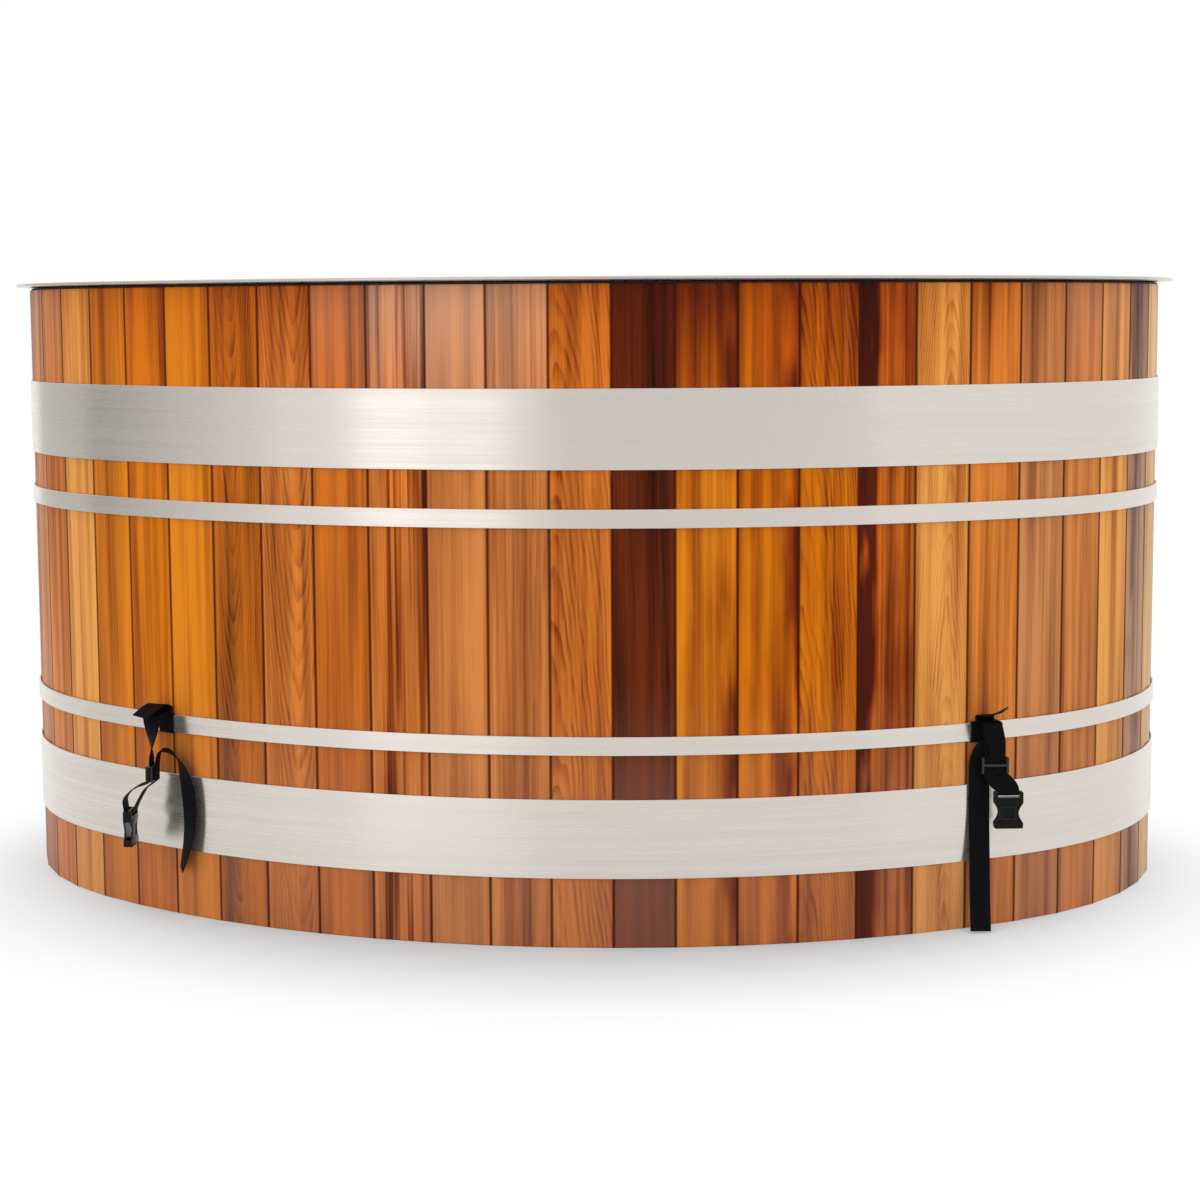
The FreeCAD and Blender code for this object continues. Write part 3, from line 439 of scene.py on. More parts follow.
@dataclass(frozen=True)
class OiledCedar:
    """Oiled western red cedar: soft satin boards, dark thin latewood lines and pores along the grain.

    The rings are cut from a log by each stave's own place in it, so the face shows arches or straight
    lines and the ends show ring arcs. A pattern has its size across and along the grain in
    millimetres, and its detail.
    """

    half_face: float = 36.5 * MM
    roughness: float = 0.36
    ior: float = 1.48
    specular: float = 0.07
    relief: float = 0.12 * MM
    patterns: tuple[tuple[str, float, float, float], ...] = (
        ("bend", 45, 260, 1.0), ("ripple", 14, 70, 1.0), ("fibre", 2, 140, 2.0), ("band", 13, 800, 1.5),
        ("cloud", 30, 380, 1.0), ("fade", 12, 60, 3.0), ("blot", 26, 150, 2.0), ("run", 6, 620, 2.0))
    top: tuple[float, float] = mm(580, 760)
    # Heights where every foot fades into a painted haze of the floor's reflection and painted shade.
    foot: tuple[float, float] = mm(330, 90)
    # Band along each joint that takes painted shade with oil and dirt.
    shade_and_dirt_band: tuple[float, float] = mm(2.8, 0.9)
    late_from: float = 0.30
    late_full: float = 0.90
    late_stop: float = 0.93
    faintest_year: float = 0.35
    deepening: float = 0.8
    top_darkening: float = 0.14
    foot_haze_share: float = 0.34
    shade_and_dirt_share: float = 0.85
    # Painted glare, painted foot haze with shade, real stain, and joint shade with oil and dirt.
    painted_glare: str = "#EBC0A2"
    painted_foot_haze: str = "#A87460"
    stained: str = "#340E03"
    shade_and_dirt: str = "#4A1605"

    def timber(self, tree: NodeTree) -> Sockets:
        """Read a stave's own attributes and lay the patterns along its grain.

        Args:
            tree: The node tree.

        Returns:
            Sockets by name.
        """
        wood = {name: add(tree, "Attribute", out="Vector", attribute_name=name)
                for name in ("grain_at", "heart", "lot", "marks")}
        for name, extra in (("tone", "show"), ("deep", "head")):
            wood[name] = add(tree, "Attribute", out="Color", attribute_name=name)
            wood[extra] = wood[name].node.outputs["Alpha"]
        wood["x"], _, wood["z"] = add(tree, "SeparateXYZ", {0: wood["grain_at"]}).node.outputs
        wood["waver"] = add(tree, "SeparateXYZ", {0: wood["heart"]}, out=2)
        for source, names in (("lot", ("seed", "spacing", "rise")), ("marks", ("edge", "patch", "streak"))):
            wood.update(zip(names, add(tree, "SeparateXYZ", {0: wood[source]}).node.outputs))
        wood["top"] = add(tree, "MapRange", {0: wood["z"], 1: self.top[0], 2: self.top[1]})
        wood["turned"] = add(tree, "Math", {0: wood["top"], 1: wood["head"]}, operation="MULTIPLY")
        # Each stave reads the patterns from a place of its own.
        own = add(tree, "VectorMath", {0: wood["seed"], 1: (1.3, 0.7, 2.1), 2: wood["grain_at"]},
                  operation="MULTIPLY_ADD")
        for name, across, along, detail in self.patterns:
            scale = (1 / across / MM, 1 / across / MM, 1 / along / MM)
            spot = add(tree, "VectorMath", {0: own, 1: scale}, operation="MULTIPLY")
            wood[name] = add(tree, "TexNoise", {"Vector": spot, "Scale": 1.0, "Detail": detail})
        return wood

    def rings(self, tree: NodeTree, wood: Sockets) -> NodeSocket:
        """Draw the latewood of the log's rings where the stave cuts them.

        Args:
            tree: The node tree.
            wood: The stave's sockets.

        Returns:
            How far the wood is latewood.
        """
        off = add(tree, "VectorMath", {0: wood["grain_at"], 1: wood["heart"]}, operation="SUBTRACT")
        level = add(tree, "VectorMath", {0: off, 1: (1, 1, 0)}, operation="MULTIPLY")
        radius = add(tree, "VectorMath", {0: level}, out="Value", operation="LENGTH")
        bent = add(tree, "Math", {0: wood["z"], 1: wood["rise"], 2: radius}, operation="MULTIPLY_ADD")
        for name, share in (("bend", 2.0), ("ripple", 0.5)):
            centred = add(tree, "Math", {0: wood[name], 1: 0.5}, operation="SUBTRACT")
            sized = add(tree, "Math", {0: centred, 1: wood["waver"]}, operation="MULTIPLY")
            bent = add(tree, "Math", {0: sized, 1: share, 2: bent}, operation="MULTIPLY_ADD")
        ring = add(tree, "Math", {0: bent, 1: wood["spacing"]}, operation="DIVIDE")
        # A ring darkens slowly over the year and stops at once.
        phase = add(tree, "Math", {0: ring}, operation="FRACT")
        growing = add(tree, "MapRange", {0: phase, 1: self.late_from, 2: self.late_full}, **SOFT)
        stopping = add(tree, "MapRange", {0: phase, 1: self.late_stop, 2: 1.0, 3: 1.0, 4: 0.0}, **SOFT)
        line = add(tree, "Math", {0: growing, 1: stopping}, operation="MULTIPLY")
        # Some years are paler, and every ring fades in places.
        number = add(tree, "Math", {0: ring}, operation="FLOOR")
        year = add(tree, "Math", {0: number, 1: wood["seed"]}, operation="ADD")
        luck = add(tree, "TexWhiteNoise", {"W": year}, noise_dimensions="1D")
        weight = add(tree, "MapRange", {0: luck, 3: self.faintest_year, 4: 1.0})
        late = add(tree, "Math", {0: line, 1: weight}, operation="MULTIPLY")
        kept = add(tree, "MapRange", {0: wood["fade"], 1: 0.36, 2: 0.60, 3: 0.25, 4: 1.15})
        return add(tree, "Math", {0: late, 1: kept}, operation="MULTIPLY")

    def stains(self, tree: NodeTree, wood: Sockets) -> NodeSocket:
        """Gather the dark marks: towards an edge, in patches, in streaks, and at the top with painted shade.

        Args:
            tree: The node tree.
            wood: The stave's sockets.

        Returns:
            How far the wood is stained, with the painted shade of the dark tops.
        """
        side = add(tree, "Math", {0: wood["edge"]}, operation="SIGN")
        reach = add(tree, "Math", {0: wood["x"], 1: side}, operation="MULTIPLY")
        strength = add(tree, "Math", {0: wood["edge"]}, operation="ABSOLUTE")
        near = add(tree, "MapRange", {0: reach, 1: 0.1 * self.half_face, 2: self.half_face}, **SOFT)
        ragged, spots, lines = (
            add(tree, "MapRange", {0: wood[name], 1: low, 2: high}, **SOFT)
            for name, low, high in (("blot", 0.24, 0.66), ("blot", 0.42, 0.74), ("run", 0.44, 0.70)))
        stain = add(tree, "Math", {0: near, 1: strength}, operation="MULTIPLY")
        stain = add(tree, "Math", {0: stain, 1: ragged}, operation="MULTIPLY")
        stain = add(tree, "Math", {0: spots, 1: wood["patch"], 2: stain}, operation="MULTIPLY_ADD")
        stain = add(tree, "Math", {0: lines, 1: wood["streak"], 2: stain}, operation="MULTIPLY_ADD",
                    use_clamp=True)
        # A dark top is partly stain and partly painted shade under the rim.
        top_shade_and_stain = add(tree, "Math", {0: wood["turned"], 1: 0.0}, operation="MAXIMUM")
        return add(tree, "Math", {0: stain, 1: 0.85, 2: top_shade_and_stain}, operation="MULTIPLY_ADD", use_clamp=True)

    def material(self) -> Material:
        """Build the material, which reads the staves' own attributes.

        Returns:
            The material.
        """
        material, tree, shader = new_material("oiled_red_cedar")
        wood = self.timber(tree)
        late, stain = self.rings(tree, wood), self.stains(tree, wood)
        dark = add(tree, "Math", {0: late, 1: wood["show"]}, operation="MULTIPLY")
        for name, amount in (("fibre", 0.65), ("band", 1.9), ("cloud", 1.4)):
            centred = add(tree, "Math", {0: wood[name], 1: 0.47}, operation="SUBTRACT")
            dark = add(tree, "Math", {0: centred, 1: amount, 2: dark}, operation="MULTIPLY_ADD")
        dark = add(tree, "Math", {0: dark, 1: 0.18}, operation="ADD", use_clamp=True)
        colour = add(tree, "Mix", {0: dark, 6: wood["tone"], 7: wood["deep"]}, **BLEND)
        # A stain reddens the wood as it darkens it, and the wood darkens a little towards the top.
        top_gamma = add(tree, "Math", {0: wood["top"], 1: self.top_darkening, 2: 1.0}, operation="MULTIPLY_ADD")
        depth = add(tree, "Math", {0: stain, 1: self.deepening, 2: top_gamma}, operation="MULTIPLY_ADD")
        colour = add(tree, "Gamma", {0: colour, 1: depth})
        # Painted glare pales some tops, a painted haze of the floor's reflection with painted shade
        # greys every foot, and painted shade in the grooves, with oil and dirt, darkens the joints.
        glare_share = add(tree, "Math", {0: wood["turned"], 1: -1.0}, operation="MULTIPLY", use_clamp=True)
        # The foot takes a painted haze of the floor's reflection, with painted shade.
        foot = add(tree, "MapRange", {0: wood["z"], 1: self.foot[0], 2: self.foot[1],
                                      4: self.foot_haze_share}, **SOFT)
        # The joints take painted shade in their grooves, with oil and dirt.
        away = add(tree, "Math", {0: wood["x"]}, operation="ABSOLUTE")
        joint = add(tree, "MapRange", {0: away, 1: self.half_face - self.shade_and_dirt_band[0],
                                       2: self.half_face - self.shade_and_dirt_band[1], 4: self.shade_and_dirt_share}, **SOFT)
        for share, code in ((glare_share, self.painted_glare), (foot, self.painted_foot_haze), (stain, self.stained),
                            (joint, self.shade_and_dirt)):
            colour = add(tree, "Mix", {0: share, 6: colour, 7: linear(code)}, **BLEND)
        rough = add(tree, "MapRange", {0: wood["fibre"], 3: self.roughness - 0.06, 4: self.roughness + 0.12})
        sunk = add(tree, "Math", {0: wood["fibre"], 1: 0.6, 2: late}, operation="MULTIPLY_ADD")
        bump = add(tree, "Bump", {"Height": sunk, "Distance": self.relief, "Strength": 0.5}, invert=True)
        plug(tree, shader, {"Base Color": colour, "Roughness": rough, "Normal": bump, "IOR": self.ior,
                            "Specular IOR Level": self.specular})
        return material


@dataclass(frozen=True)
class BrushedSteel:
    """Stainless steel sheet brushed along its length: long fine scratches that blur what it mirrors.

    The scratches' size along X, Y and Z is in millimetres, about five times too coarse, so that they
    show.
    """

    name: str = "brushed_stainless"
    colour: str = "#DFD8D0"
    roughness: float = 0.27
    streak: tuple[float, float, float] = (220.0, 220.0, 1.3)
    coarser: float = 6
    relief: float = 0.03 * MM
    metallic: float = 0.86
    spread: float = 0.8

    def material(self) -> Material:
        """Build the material on Object coordinates.

        Returns:
            The material.
        """
        material, tree, shader = new_material(self.name)
        at = add(tree, "TexCoord", out="Object")
        scale = tuple(1 / size / MM for size in self.streak)
        spot = add(tree, "VectorMath", {0: at, 1: scale}, operation="MULTIPLY")
        scratch = add(tree, "TexNoise", {"Vector": spot, "Scale": 1.0, "Detail": 3.0, "Roughness": 0.65})
        broad = add(tree, "VectorMath", {0: at, 1: tuple(s / self.coarser for s in scale)},
                    operation="MULTIPLY")
        sheen = add(tree, "TexNoise", {"Vector": broad, "Scale": 1.0, "Detail": 2.0})
        both = add(tree, "Math", {0: sheen, 1: 0.6, 2: scratch}, operation="MULTIPLY_ADD")
        shade, rough = (
            add(tree, "MapRange", {0: both, 1: 0.45, 2: 1.15, 3: low, 4: high})
            for low, high in ((0.92, 1.0), (self.roughness + 0.10, self.roughness - 0.06)))
        colour = add(tree, "Mix", {0: 1.0, 6: linear(self.colour), 7: shade}, **BLEND,
                     blend_type="MULTIPLY")
        bump = add(tree, "Bump", {"Height": scratch, "Distance": self.relief, "Strength": 0.25})
        # The grooves spread what they mirror across their own run, which goes round the tub, and the
        # torn metal between them scatters a little light evenly.
        run = add(tree, "Tangent", direction_type="RADIAL", axis="Z")
        plug(tree, shader, {"Base Color": colour, "Metallic": self.metallic, "Roughness": rough,
                            "Normal": bump, "Tangent": run, "Anisotropic": self.spread,
                            "Anisotropic Rotation": 0.25})
        return material


@dataclass(frozen=True)
class NylonWebbing:
    """Black nylon webbing: ribs across a herringbone weave, a little sheen, close selvedges."""

    rib: float = 1.9 * MM
    column: float = 2.8 * MM
    yarn: tuple[float, float] = mm(0.4, 2.5)
    half_width: float = 12.7 * MM
    selvedge: tuple[float, float] = mm(2.2, 1.0)
    slant: float = 0.9
    column_share: float = 0.35
    relief: float = 0.25 * MM
    ior: float = 1.53
    specular: float = 0.04
    deep: str = "#030304"
    lit: str = "#0F1012"

    def material(self) -> Material:
        """Build the material on the webbing's own UV map, which is in metres across and along.

        Returns:
            The material.
        """
        material, tree, shader = new_material("black_nylon_webbing")
        uv = add(tree, "UVMap", uv_map="weave")
        u, v, _ = add(tree, "SeparateXYZ", {0: uv}).node.outputs
        zig = add(tree, "Math", {0: u, 1: self.column}, operation="PINGPONG")
        slant = add(tree, "Math", {0: zig, 1: self.slant, 2: v}, operation="MULTIPLY_ADD")
        turn = add(tree, "Math", {0: slant, 1: math.tau / self.rib}, operation="MULTIPLY")
        rib = add(tree, "Math", {0: turn}, operation="SINE")
        across = add(tree, "Math", {0: u, 1: math.tau / self.column}, operation="MULTIPLY")
        column = add(tree, "Math", {0: across}, operation="COSINE")
        weave = add(tree, "Math", {0: column, 1: self.column_share, 2: rib}, operation="MULTIPLY_ADD")
        spot = add(tree, "VectorMath", {0: uv, 1: (1 / self.yarn[0], 1 / self.yarn[1], 1)},
                   operation="MULTIPLY")
        yarn = add(tree, "TexNoise", {"Vector": spot, "Scale": 1.0, "Detail": 2.0})
        away = add(tree, "Math", {0: u}, operation="ABSOLUTE")
        selvedge = add(tree, "MapRange", {0: away, 1: self.half_width - self.selvedge[0],
                                          2: self.half_width - self.selvedge[1]})
        crest = 1 + self.column_share
        tint, rough = (
            add(tree, "MapRange", {0: weave, 1: -crest, 2: crest, 3: low, 4: high})
            for low, high in ((0.0, 1.0), (0.66, 0.5)))
        tint = add(tree, "Math", {0: yarn, 1: 0.5, 2: tint}, operation="MULTIPLY_ADD")
        tint = add(tree, "Math", {0: selvedge, 1: 0.25, 2: tint}, operation="MULTIPLY_ADD", use_clamp=True)
        colour = add(tree, "Mix", {0: tint, 6: linear(self.deep), 7: linear(self.lit)}, **BLEND)
        bump = add(tree, "Bump", {"Height": tint, "Distance": self.relief, "Strength": 0.7})
        plug(tree, shader, {"Base Color": colour, "Roughness": rough, "Normal": bump, "IOR": self.ior,
                            "Specular IOR Level": self.specular})
        return material


@dataclass(frozen=True)
class Moulded:
    """A moulded or sawn plain material: a spark-eroded or cellular skin with slight mottling.

    Grain and relief are in millimetres.
    """

    name: str
    colour: str
    deep: str
    roughness: float
    grain: float
    relief: float
    ior: float = 1.5
    specular: float = 0.5
    mottle: float = 40 * MM
    # Colour of the painted edge highlight with rubbed wear.
    glint_and_wear_colour: str = "#45484B"

    def material(self) -> Material:
        """Build the material on Object coordinates.

        Returns:
            The material.
        """
        material, tree, shader = new_material(self.name)
        at = add(tree, "TexCoord", out="Object")
        fine, cloud = (add(tree, "TexNoise", {"Vector": at, "Scale": scale, "Detail": 2.0})
                       for scale in (1 / self.grain / MM, 1 / self.mottle))
        both = add(tree, "Math", {0: cloud, 1: 0.8, 2: fine}, operation="MULTIPLY_ADD")
        mottle = add(tree, "MapRange", {0: both, 1: 0.55, 2: 1.25})
        colour = add(tree, "Mix", {0: mottle, 6: linear(self.deep), 7: linear(self.colour)}, **BLEND)
        # Painted edge highlights with rubbed wear, on pieces that have them marked.
        glint_and_wear = add(tree, "Attribute", out="Fac", attribute_name="glint_and_wear")
        glint_and_wear_share = add(tree, "Math", {0: glint_and_wear, 1: fine}, operation="MULTIPLY")
        colour = add(tree, "Mix", {0: glint_and_wear_share, 6: colour, 7: linear(self.glint_and_wear_colour)}, **BLEND)
        rough = add(tree, "MapRange", {0: both, 1: 0.5, 2: 1.3, 3: self.roughness + 0.07,
                                       4: self.roughness - 0.05})
        bump = add(tree, "Bump", {"Height": fine, "Distance": self.relief * MM, "Strength": 0.6})
        plug(tree, shader, {"Base Color": colour, "Roughness": rough, "Normal": bump, "IOR": self.ior,
                            "Specular IOR Level": self.specular})
        return material


@dataclass(frozen=True)
class SawnCedar:
    """Rough sawn cedar for the hidden floor frame: straight grain with saw marks across it.

    Each pattern has its size along the grain and across it.
    """

    fibre: tuple[float, float] = mm(160, 2.5)
    saw: tuple[float, float] = mm(2, 120)
    relief: float = 0.4 * MM
    roughness: float = 0.72
    ior: float = 1.48
    deep: str = "#8A5A38"
    pale: str = "#C89468"

    def material(self) -> Material:
        """Build the material on Object coordinates, with the grain along X.

        Returns:
            The material.
        """
        material, tree, shader = new_material("sawn_cedar")
        at = add(tree, "TexCoord", out="Object")
        layers = []
        for (along, across), detail in ((self.fibre, 3.0), (self.saw, 1.0)):
            spot = add(tree, "VectorMath", {0: at, 1: (1 / along, 1 / across, 1 / across)},
                       operation="MULTIPLY")
            layers.append(add(tree, "TexNoise", {"Vector": spot, "Scale": 1.0, "Detail": detail}))
        both = add(tree, "Math", {0: layers[1], 1: 0.4, 2: layers[0]}, operation="MULTIPLY_ADD")
        share = add(tree, "MapRange", {0: both, 1: 0.4, 2: 1.0})
        colour = add(tree, "Mix", {0: share, 6: linear(self.deep), 7: linear(self.pale)}, **BLEND)
        bump = add(tree, "Bump", {"Height": both, "Distance": self.relief, "Strength": 0.6})
        plug(tree, shader, {"Base Color": colour, "Roughness": self.roughness, "Normal": bump,
                            "IOR": self.ior})
        return material


class Finishes:
    """Every material of the tub, built once."""

    def __init__(self) -> None:
        """Build them all."""
        self.cedar = OiledCedar().material()
        self.sawn = SawnCedar().material()
        self.steel = BrushedSteel().material()
        # The liner is brushed upright on its wall and the rim along its run.
        self.liner = BrushedSteel("brushed_liner", "#D2D0CC", 0.34, (1.6, 1.6, 240.0)).material()
        self.rim = BrushedSteel("brushed_rim", "#C6C2BB", 0.26, (160.0, 160.0, 1.0)).material()
        self.fastener = BrushedSteel("turned_stainless", "#C9C8C6", 0.24, (14.0, 14.0, 0.7)).material()
        self.webbing = NylonWebbing().material()
        # Acetal, moulded in a spark-eroded tool: near black with a dull gloss.
        self.acetal = Moulded("black_acetal", "#08090A", "#040405", 0.22, 0.5, 0.03, 1.48, 0.16).material()
        # Unplasticised PVC: mid grey, smooth, slightly waxy.
        self.pvc = Moulded("grey_pvc", "#83878A", "#6C7073", 0.40, 0.8, 0.03).material()
        # EPDM rubber: black, matt and faintly bloomed.
        self.rubber = Moulded("black_epdm", "#1C1C1C", "#101010", 0.78, 0.7, 0.05).material()
        # Rigid polyurethane foam board: pale cream cut cells.
        self.foam = Moulded("rigid_foam", "#EBE2C8", "#CDBE98", 0.85, 1.6, 0.5, 1.4).material()


# Plan
@dataclass(frozen=True)
class Seat:
    """The middle of a stave's outer face and its outward angle."""

    x: float
    y: float
    angle: float

    def matrix(self) -> Matrix:
        """Carry a front pose, with its face on y = 0 and outward along -Y, to this seat."""
        return Matrix.Translation((self.x, self.y, 0)) @ Matrix.Rotation(self.angle, 4, "Z")


@dataclass(frozen=True)
class Oval:
    """The four-arc plan through the outer stave corners, swept in facets of so many degrees."""

    face: float = 73 * MM
    per_side: int = 17
    per_end: int = 12
    end_radius: float = 477.4 * MM
    facet: float = 1.2

    @property
    def end_turn(self) -> float:
        """Angle that an end stave covers."""
        return 2 * math.asin(self.face / 2 / self.end_radius)

    @property
    def side_turn(self) -> float:
        """Angle that a side stave covers."""
        return (math.pi - self.per_end * self.end_turn) / self.per_side

    @property
    def side_radius(self) -> float:
        """Radius of the side arcs."""
        return self.face / 2 / math.sin(self.side_turn / 2)

    @property
    def half(self) -> float:
        """Half of the angle that a side covers."""
        return self.per_side * self.side_turn / 2

    @property
    def end_centre(self) -> float:
        """How far the end arcs' centres lie along X."""
        return (self.side_radius - self.end_radius) * math.sin(self.half)

    @property
    def side_centre(self) -> float:
        """How far the side arcs' centres lie along Y."""
        return (self.side_radius - self.end_radius) * math.cos(self.half)

    def arcs(self) -> list[tuple[Vector, float, float, float]]:
        """Lay out the front, right, rear and left arcs.

        Returns:
            Centre, radius, start and stop of each.
        """
        h, turn = self.half, math.pi
        return [
            (Vector((0, self.side_centre, 0)), self.side_radius, -h, h),
            (Vector((self.end_centre, 0, 0)), self.end_radius, h, turn - h),
            (Vector((0, -self.side_centre, 0)), self.side_radius, turn - h, turn + h),
            (Vector((-self.end_centre, 0, 0)), self.end_radius, turn + h, 2 * turn - h),
        ]

    def side_seat(self, place: float, rear: bool = False) -> Seat:
        """A place on the front or the rear, in staves from its middle.

        Args:
            place: Staves from the middle.
            rear: Whether it is on the rear.

        Returns:
            The seat.
        """
        angle = (math.pi if rear else 0.0) + place * self.side_turn
        apothem = self.side_radius * math.cos(self.side_turn / 2)
        centre = -self.side_centre if rear else self.side_centre
        return Seat(apothem * math.sin(angle), centre - apothem * math.cos(angle), angle)

    def end_seat(self, number: int, left: bool = False) -> Seat:
        """The seat of one stave of an end.

        Args:
            number: The stave, counted along the oval.
            left: Whether it is on the left.

        Returns:
            The seat.
        """
        angle = (math.pi if left else 0.0) + self.half + (number + 0.5) * self.end_turn
        apothem = self.end_radius * math.cos(self.end_turn / 2)
        centre = -self.end_centre if left else self.end_centre
        return Seat(centre + apothem * math.sin(angle), -apothem * math.cos(angle), angle)

    def sweep(self, section: Sequence[tuple[float, float]],
              opening: tuple[float, float] | None = None) -> Object:
        """Spin a closed section round the oval, arc after arc.

        Args:
            section: Points outwards from the stave corners and up.
            opening: Angles on the rear between which a band is left open.

        Returns:
            The new object.
        """
        runs = self.arcs()
        if opening:
            first, last = opening
            centre, radius, start, stop = runs[2]
            later = [(c, r, a + math.tau, b + math.tau) for c, r, a, b in runs[:2]]
            runs = [(centre, radius, last, stop), runs[3], *later,
                    (centre, radius, start + math.tau, first + math.tau)]
        centre, radius, start, _ = runs[0]
        outward = Vector((math.sin(start), -math.cos(start), 0))
        obj = trace([centre + outward * (radius + out) + Vector((0, 0, z)) for out, z in section])
        open_up(obj)
        for centre, _, start, stop in runs:
            steps = max(2, round(math.degrees(stop - start) / self.facet))
            bpy.ops.mesh.spin(steps=steps, angle=start - stop, center=centre, axis=UP)
        if opening:
            bpy.ops.mesh.select_mode(type="EDGE")
            bpy.ops.mesh.select_all(action="DESELECT")
            bpy.ops.mesh.select_non_manifold()
            bpy.ops.mesh.fill_holes(sides=0)
        let_go()
        clean(obj)
        return obj


# Staves
@dataclass(frozen=True)
class CedarBoard:
    """One stave's timber."""

    tone: CedarTone
    cut: Cut
    stain: Stain = Stain.NONE


def boards(*rows: tuple[CedarTone | Cut | Stain, ...]) -> list[CedarBoard]:
    """Choose the timber for a run of staves, each with its tone, cut and any stain."""
    return [CedarBoard(*row) for row in rows]


# The timber of each run, in the order of the angles round the oval.
T, C, S = CedarTone, Cut, Stain
FRONT = boards(
    (T.GOLD, C.STRAIGHT), (T.AMBER, C.RIFT), (T.GOLD, C.STRAIGHT), (T.BROWN, C.CATHEDRAL),
    (T.CINNAMON, C.CATHEDRAL, S.DARK_TOP), (T.RUSSET, C.STRAIGHT, S.FADED_TOP),
    (T.CINNAMON, C.RIFT, S.STREAKS), (T.TAN, C.STRAIGHT, S.PALE_TOP), (T.TAN, C.RIFT, S.LINES),
    (T.ORANGE, C.WAVY), (T.CHOCOLATE, C.RIFT), (T.GOLD, C.STRAIGHT, S.SCORCHED),
    (T.AMBER, C.STRAIGHT, S.RIGHT_EDGE), (T.AMBER, C.WAVY, S.DARK_TOP), (T.RUSSET, C.RIFT, S.BURNT),
    (T.HONEY, C.CATHEDRAL), (T.CINNAMON, C.RIFT))
RIGHT = boards(
    (T.ROSE, C.STRAIGHT), (T.TAN, C.RIFT, S.FADED_TOP), (T.HONEY, C.STRAIGHT, S.FADED_TOP),
    (T.MAUVE, C.RIFT, S.PATCHES), (T.STRAW, C.STRAIGHT), (T.CINNAMON, C.CATHEDRAL),
    (T.AMBER, C.STRAIGHT), (T.RUSSET, C.RIFT), (T.BROWN, C.RIFT, S.LINES), (T.GOLD, C.WAVY),
    (T.TAN, C.STRAIGHT), (T.HONEY, C.CATHEDRAL))
REAR = boards(
    (T.ORANGE, C.STRAIGHT), (T.CINNAMON, C.WAVY), (T.AMBER, C.RIFT), (T.TAN, C.STRAIGHT, S.LINES),
    (T.GOLD, C.CATHEDRAL), (T.ROSE, C.RIFT), (T.RUSSET, C.STRAIGHT), (T.CHOCOLATE, C.STRAIGHT),
    (T.CINNAMON, C.RIFT), (T.HONEY, C.CATHEDRAL), (T.AMBER, C.STRAIGHT, S.RIGHT_EDGE), (T.TAN, C.RIFT),
    (T.BROWN, C.WAVY), (T.ORANGE, C.STRAIGHT), (T.CINNAMON, C.CATHEDRAL), (T.GOLD, C.RIFT, S.STREAKS),
    (T.TAN, C.STRAIGHT))
LEFT = boards(
    (T.RUSSET, C.CATHEDRAL), (T.TAN, C.STRAIGHT), (T.AMBER, C.RIFT), (T.BROWN, C.STRAIGHT),
    (T.HONEY, C.STRAIGHT), (T.ORANGE, C.CATHEDRAL), (T.CINNAMON, C.RIFT, S.LINES), (T.GOLD, C.STRAIGHT),
    (T.TAN, C.WAVY), (T.ROSE, C.STRAIGHT, S.FADED_TOP), (T.CINNAMON, C.STRAIGHT, S.FADED_TOP),
    (T.HONEY, C.RIFT))


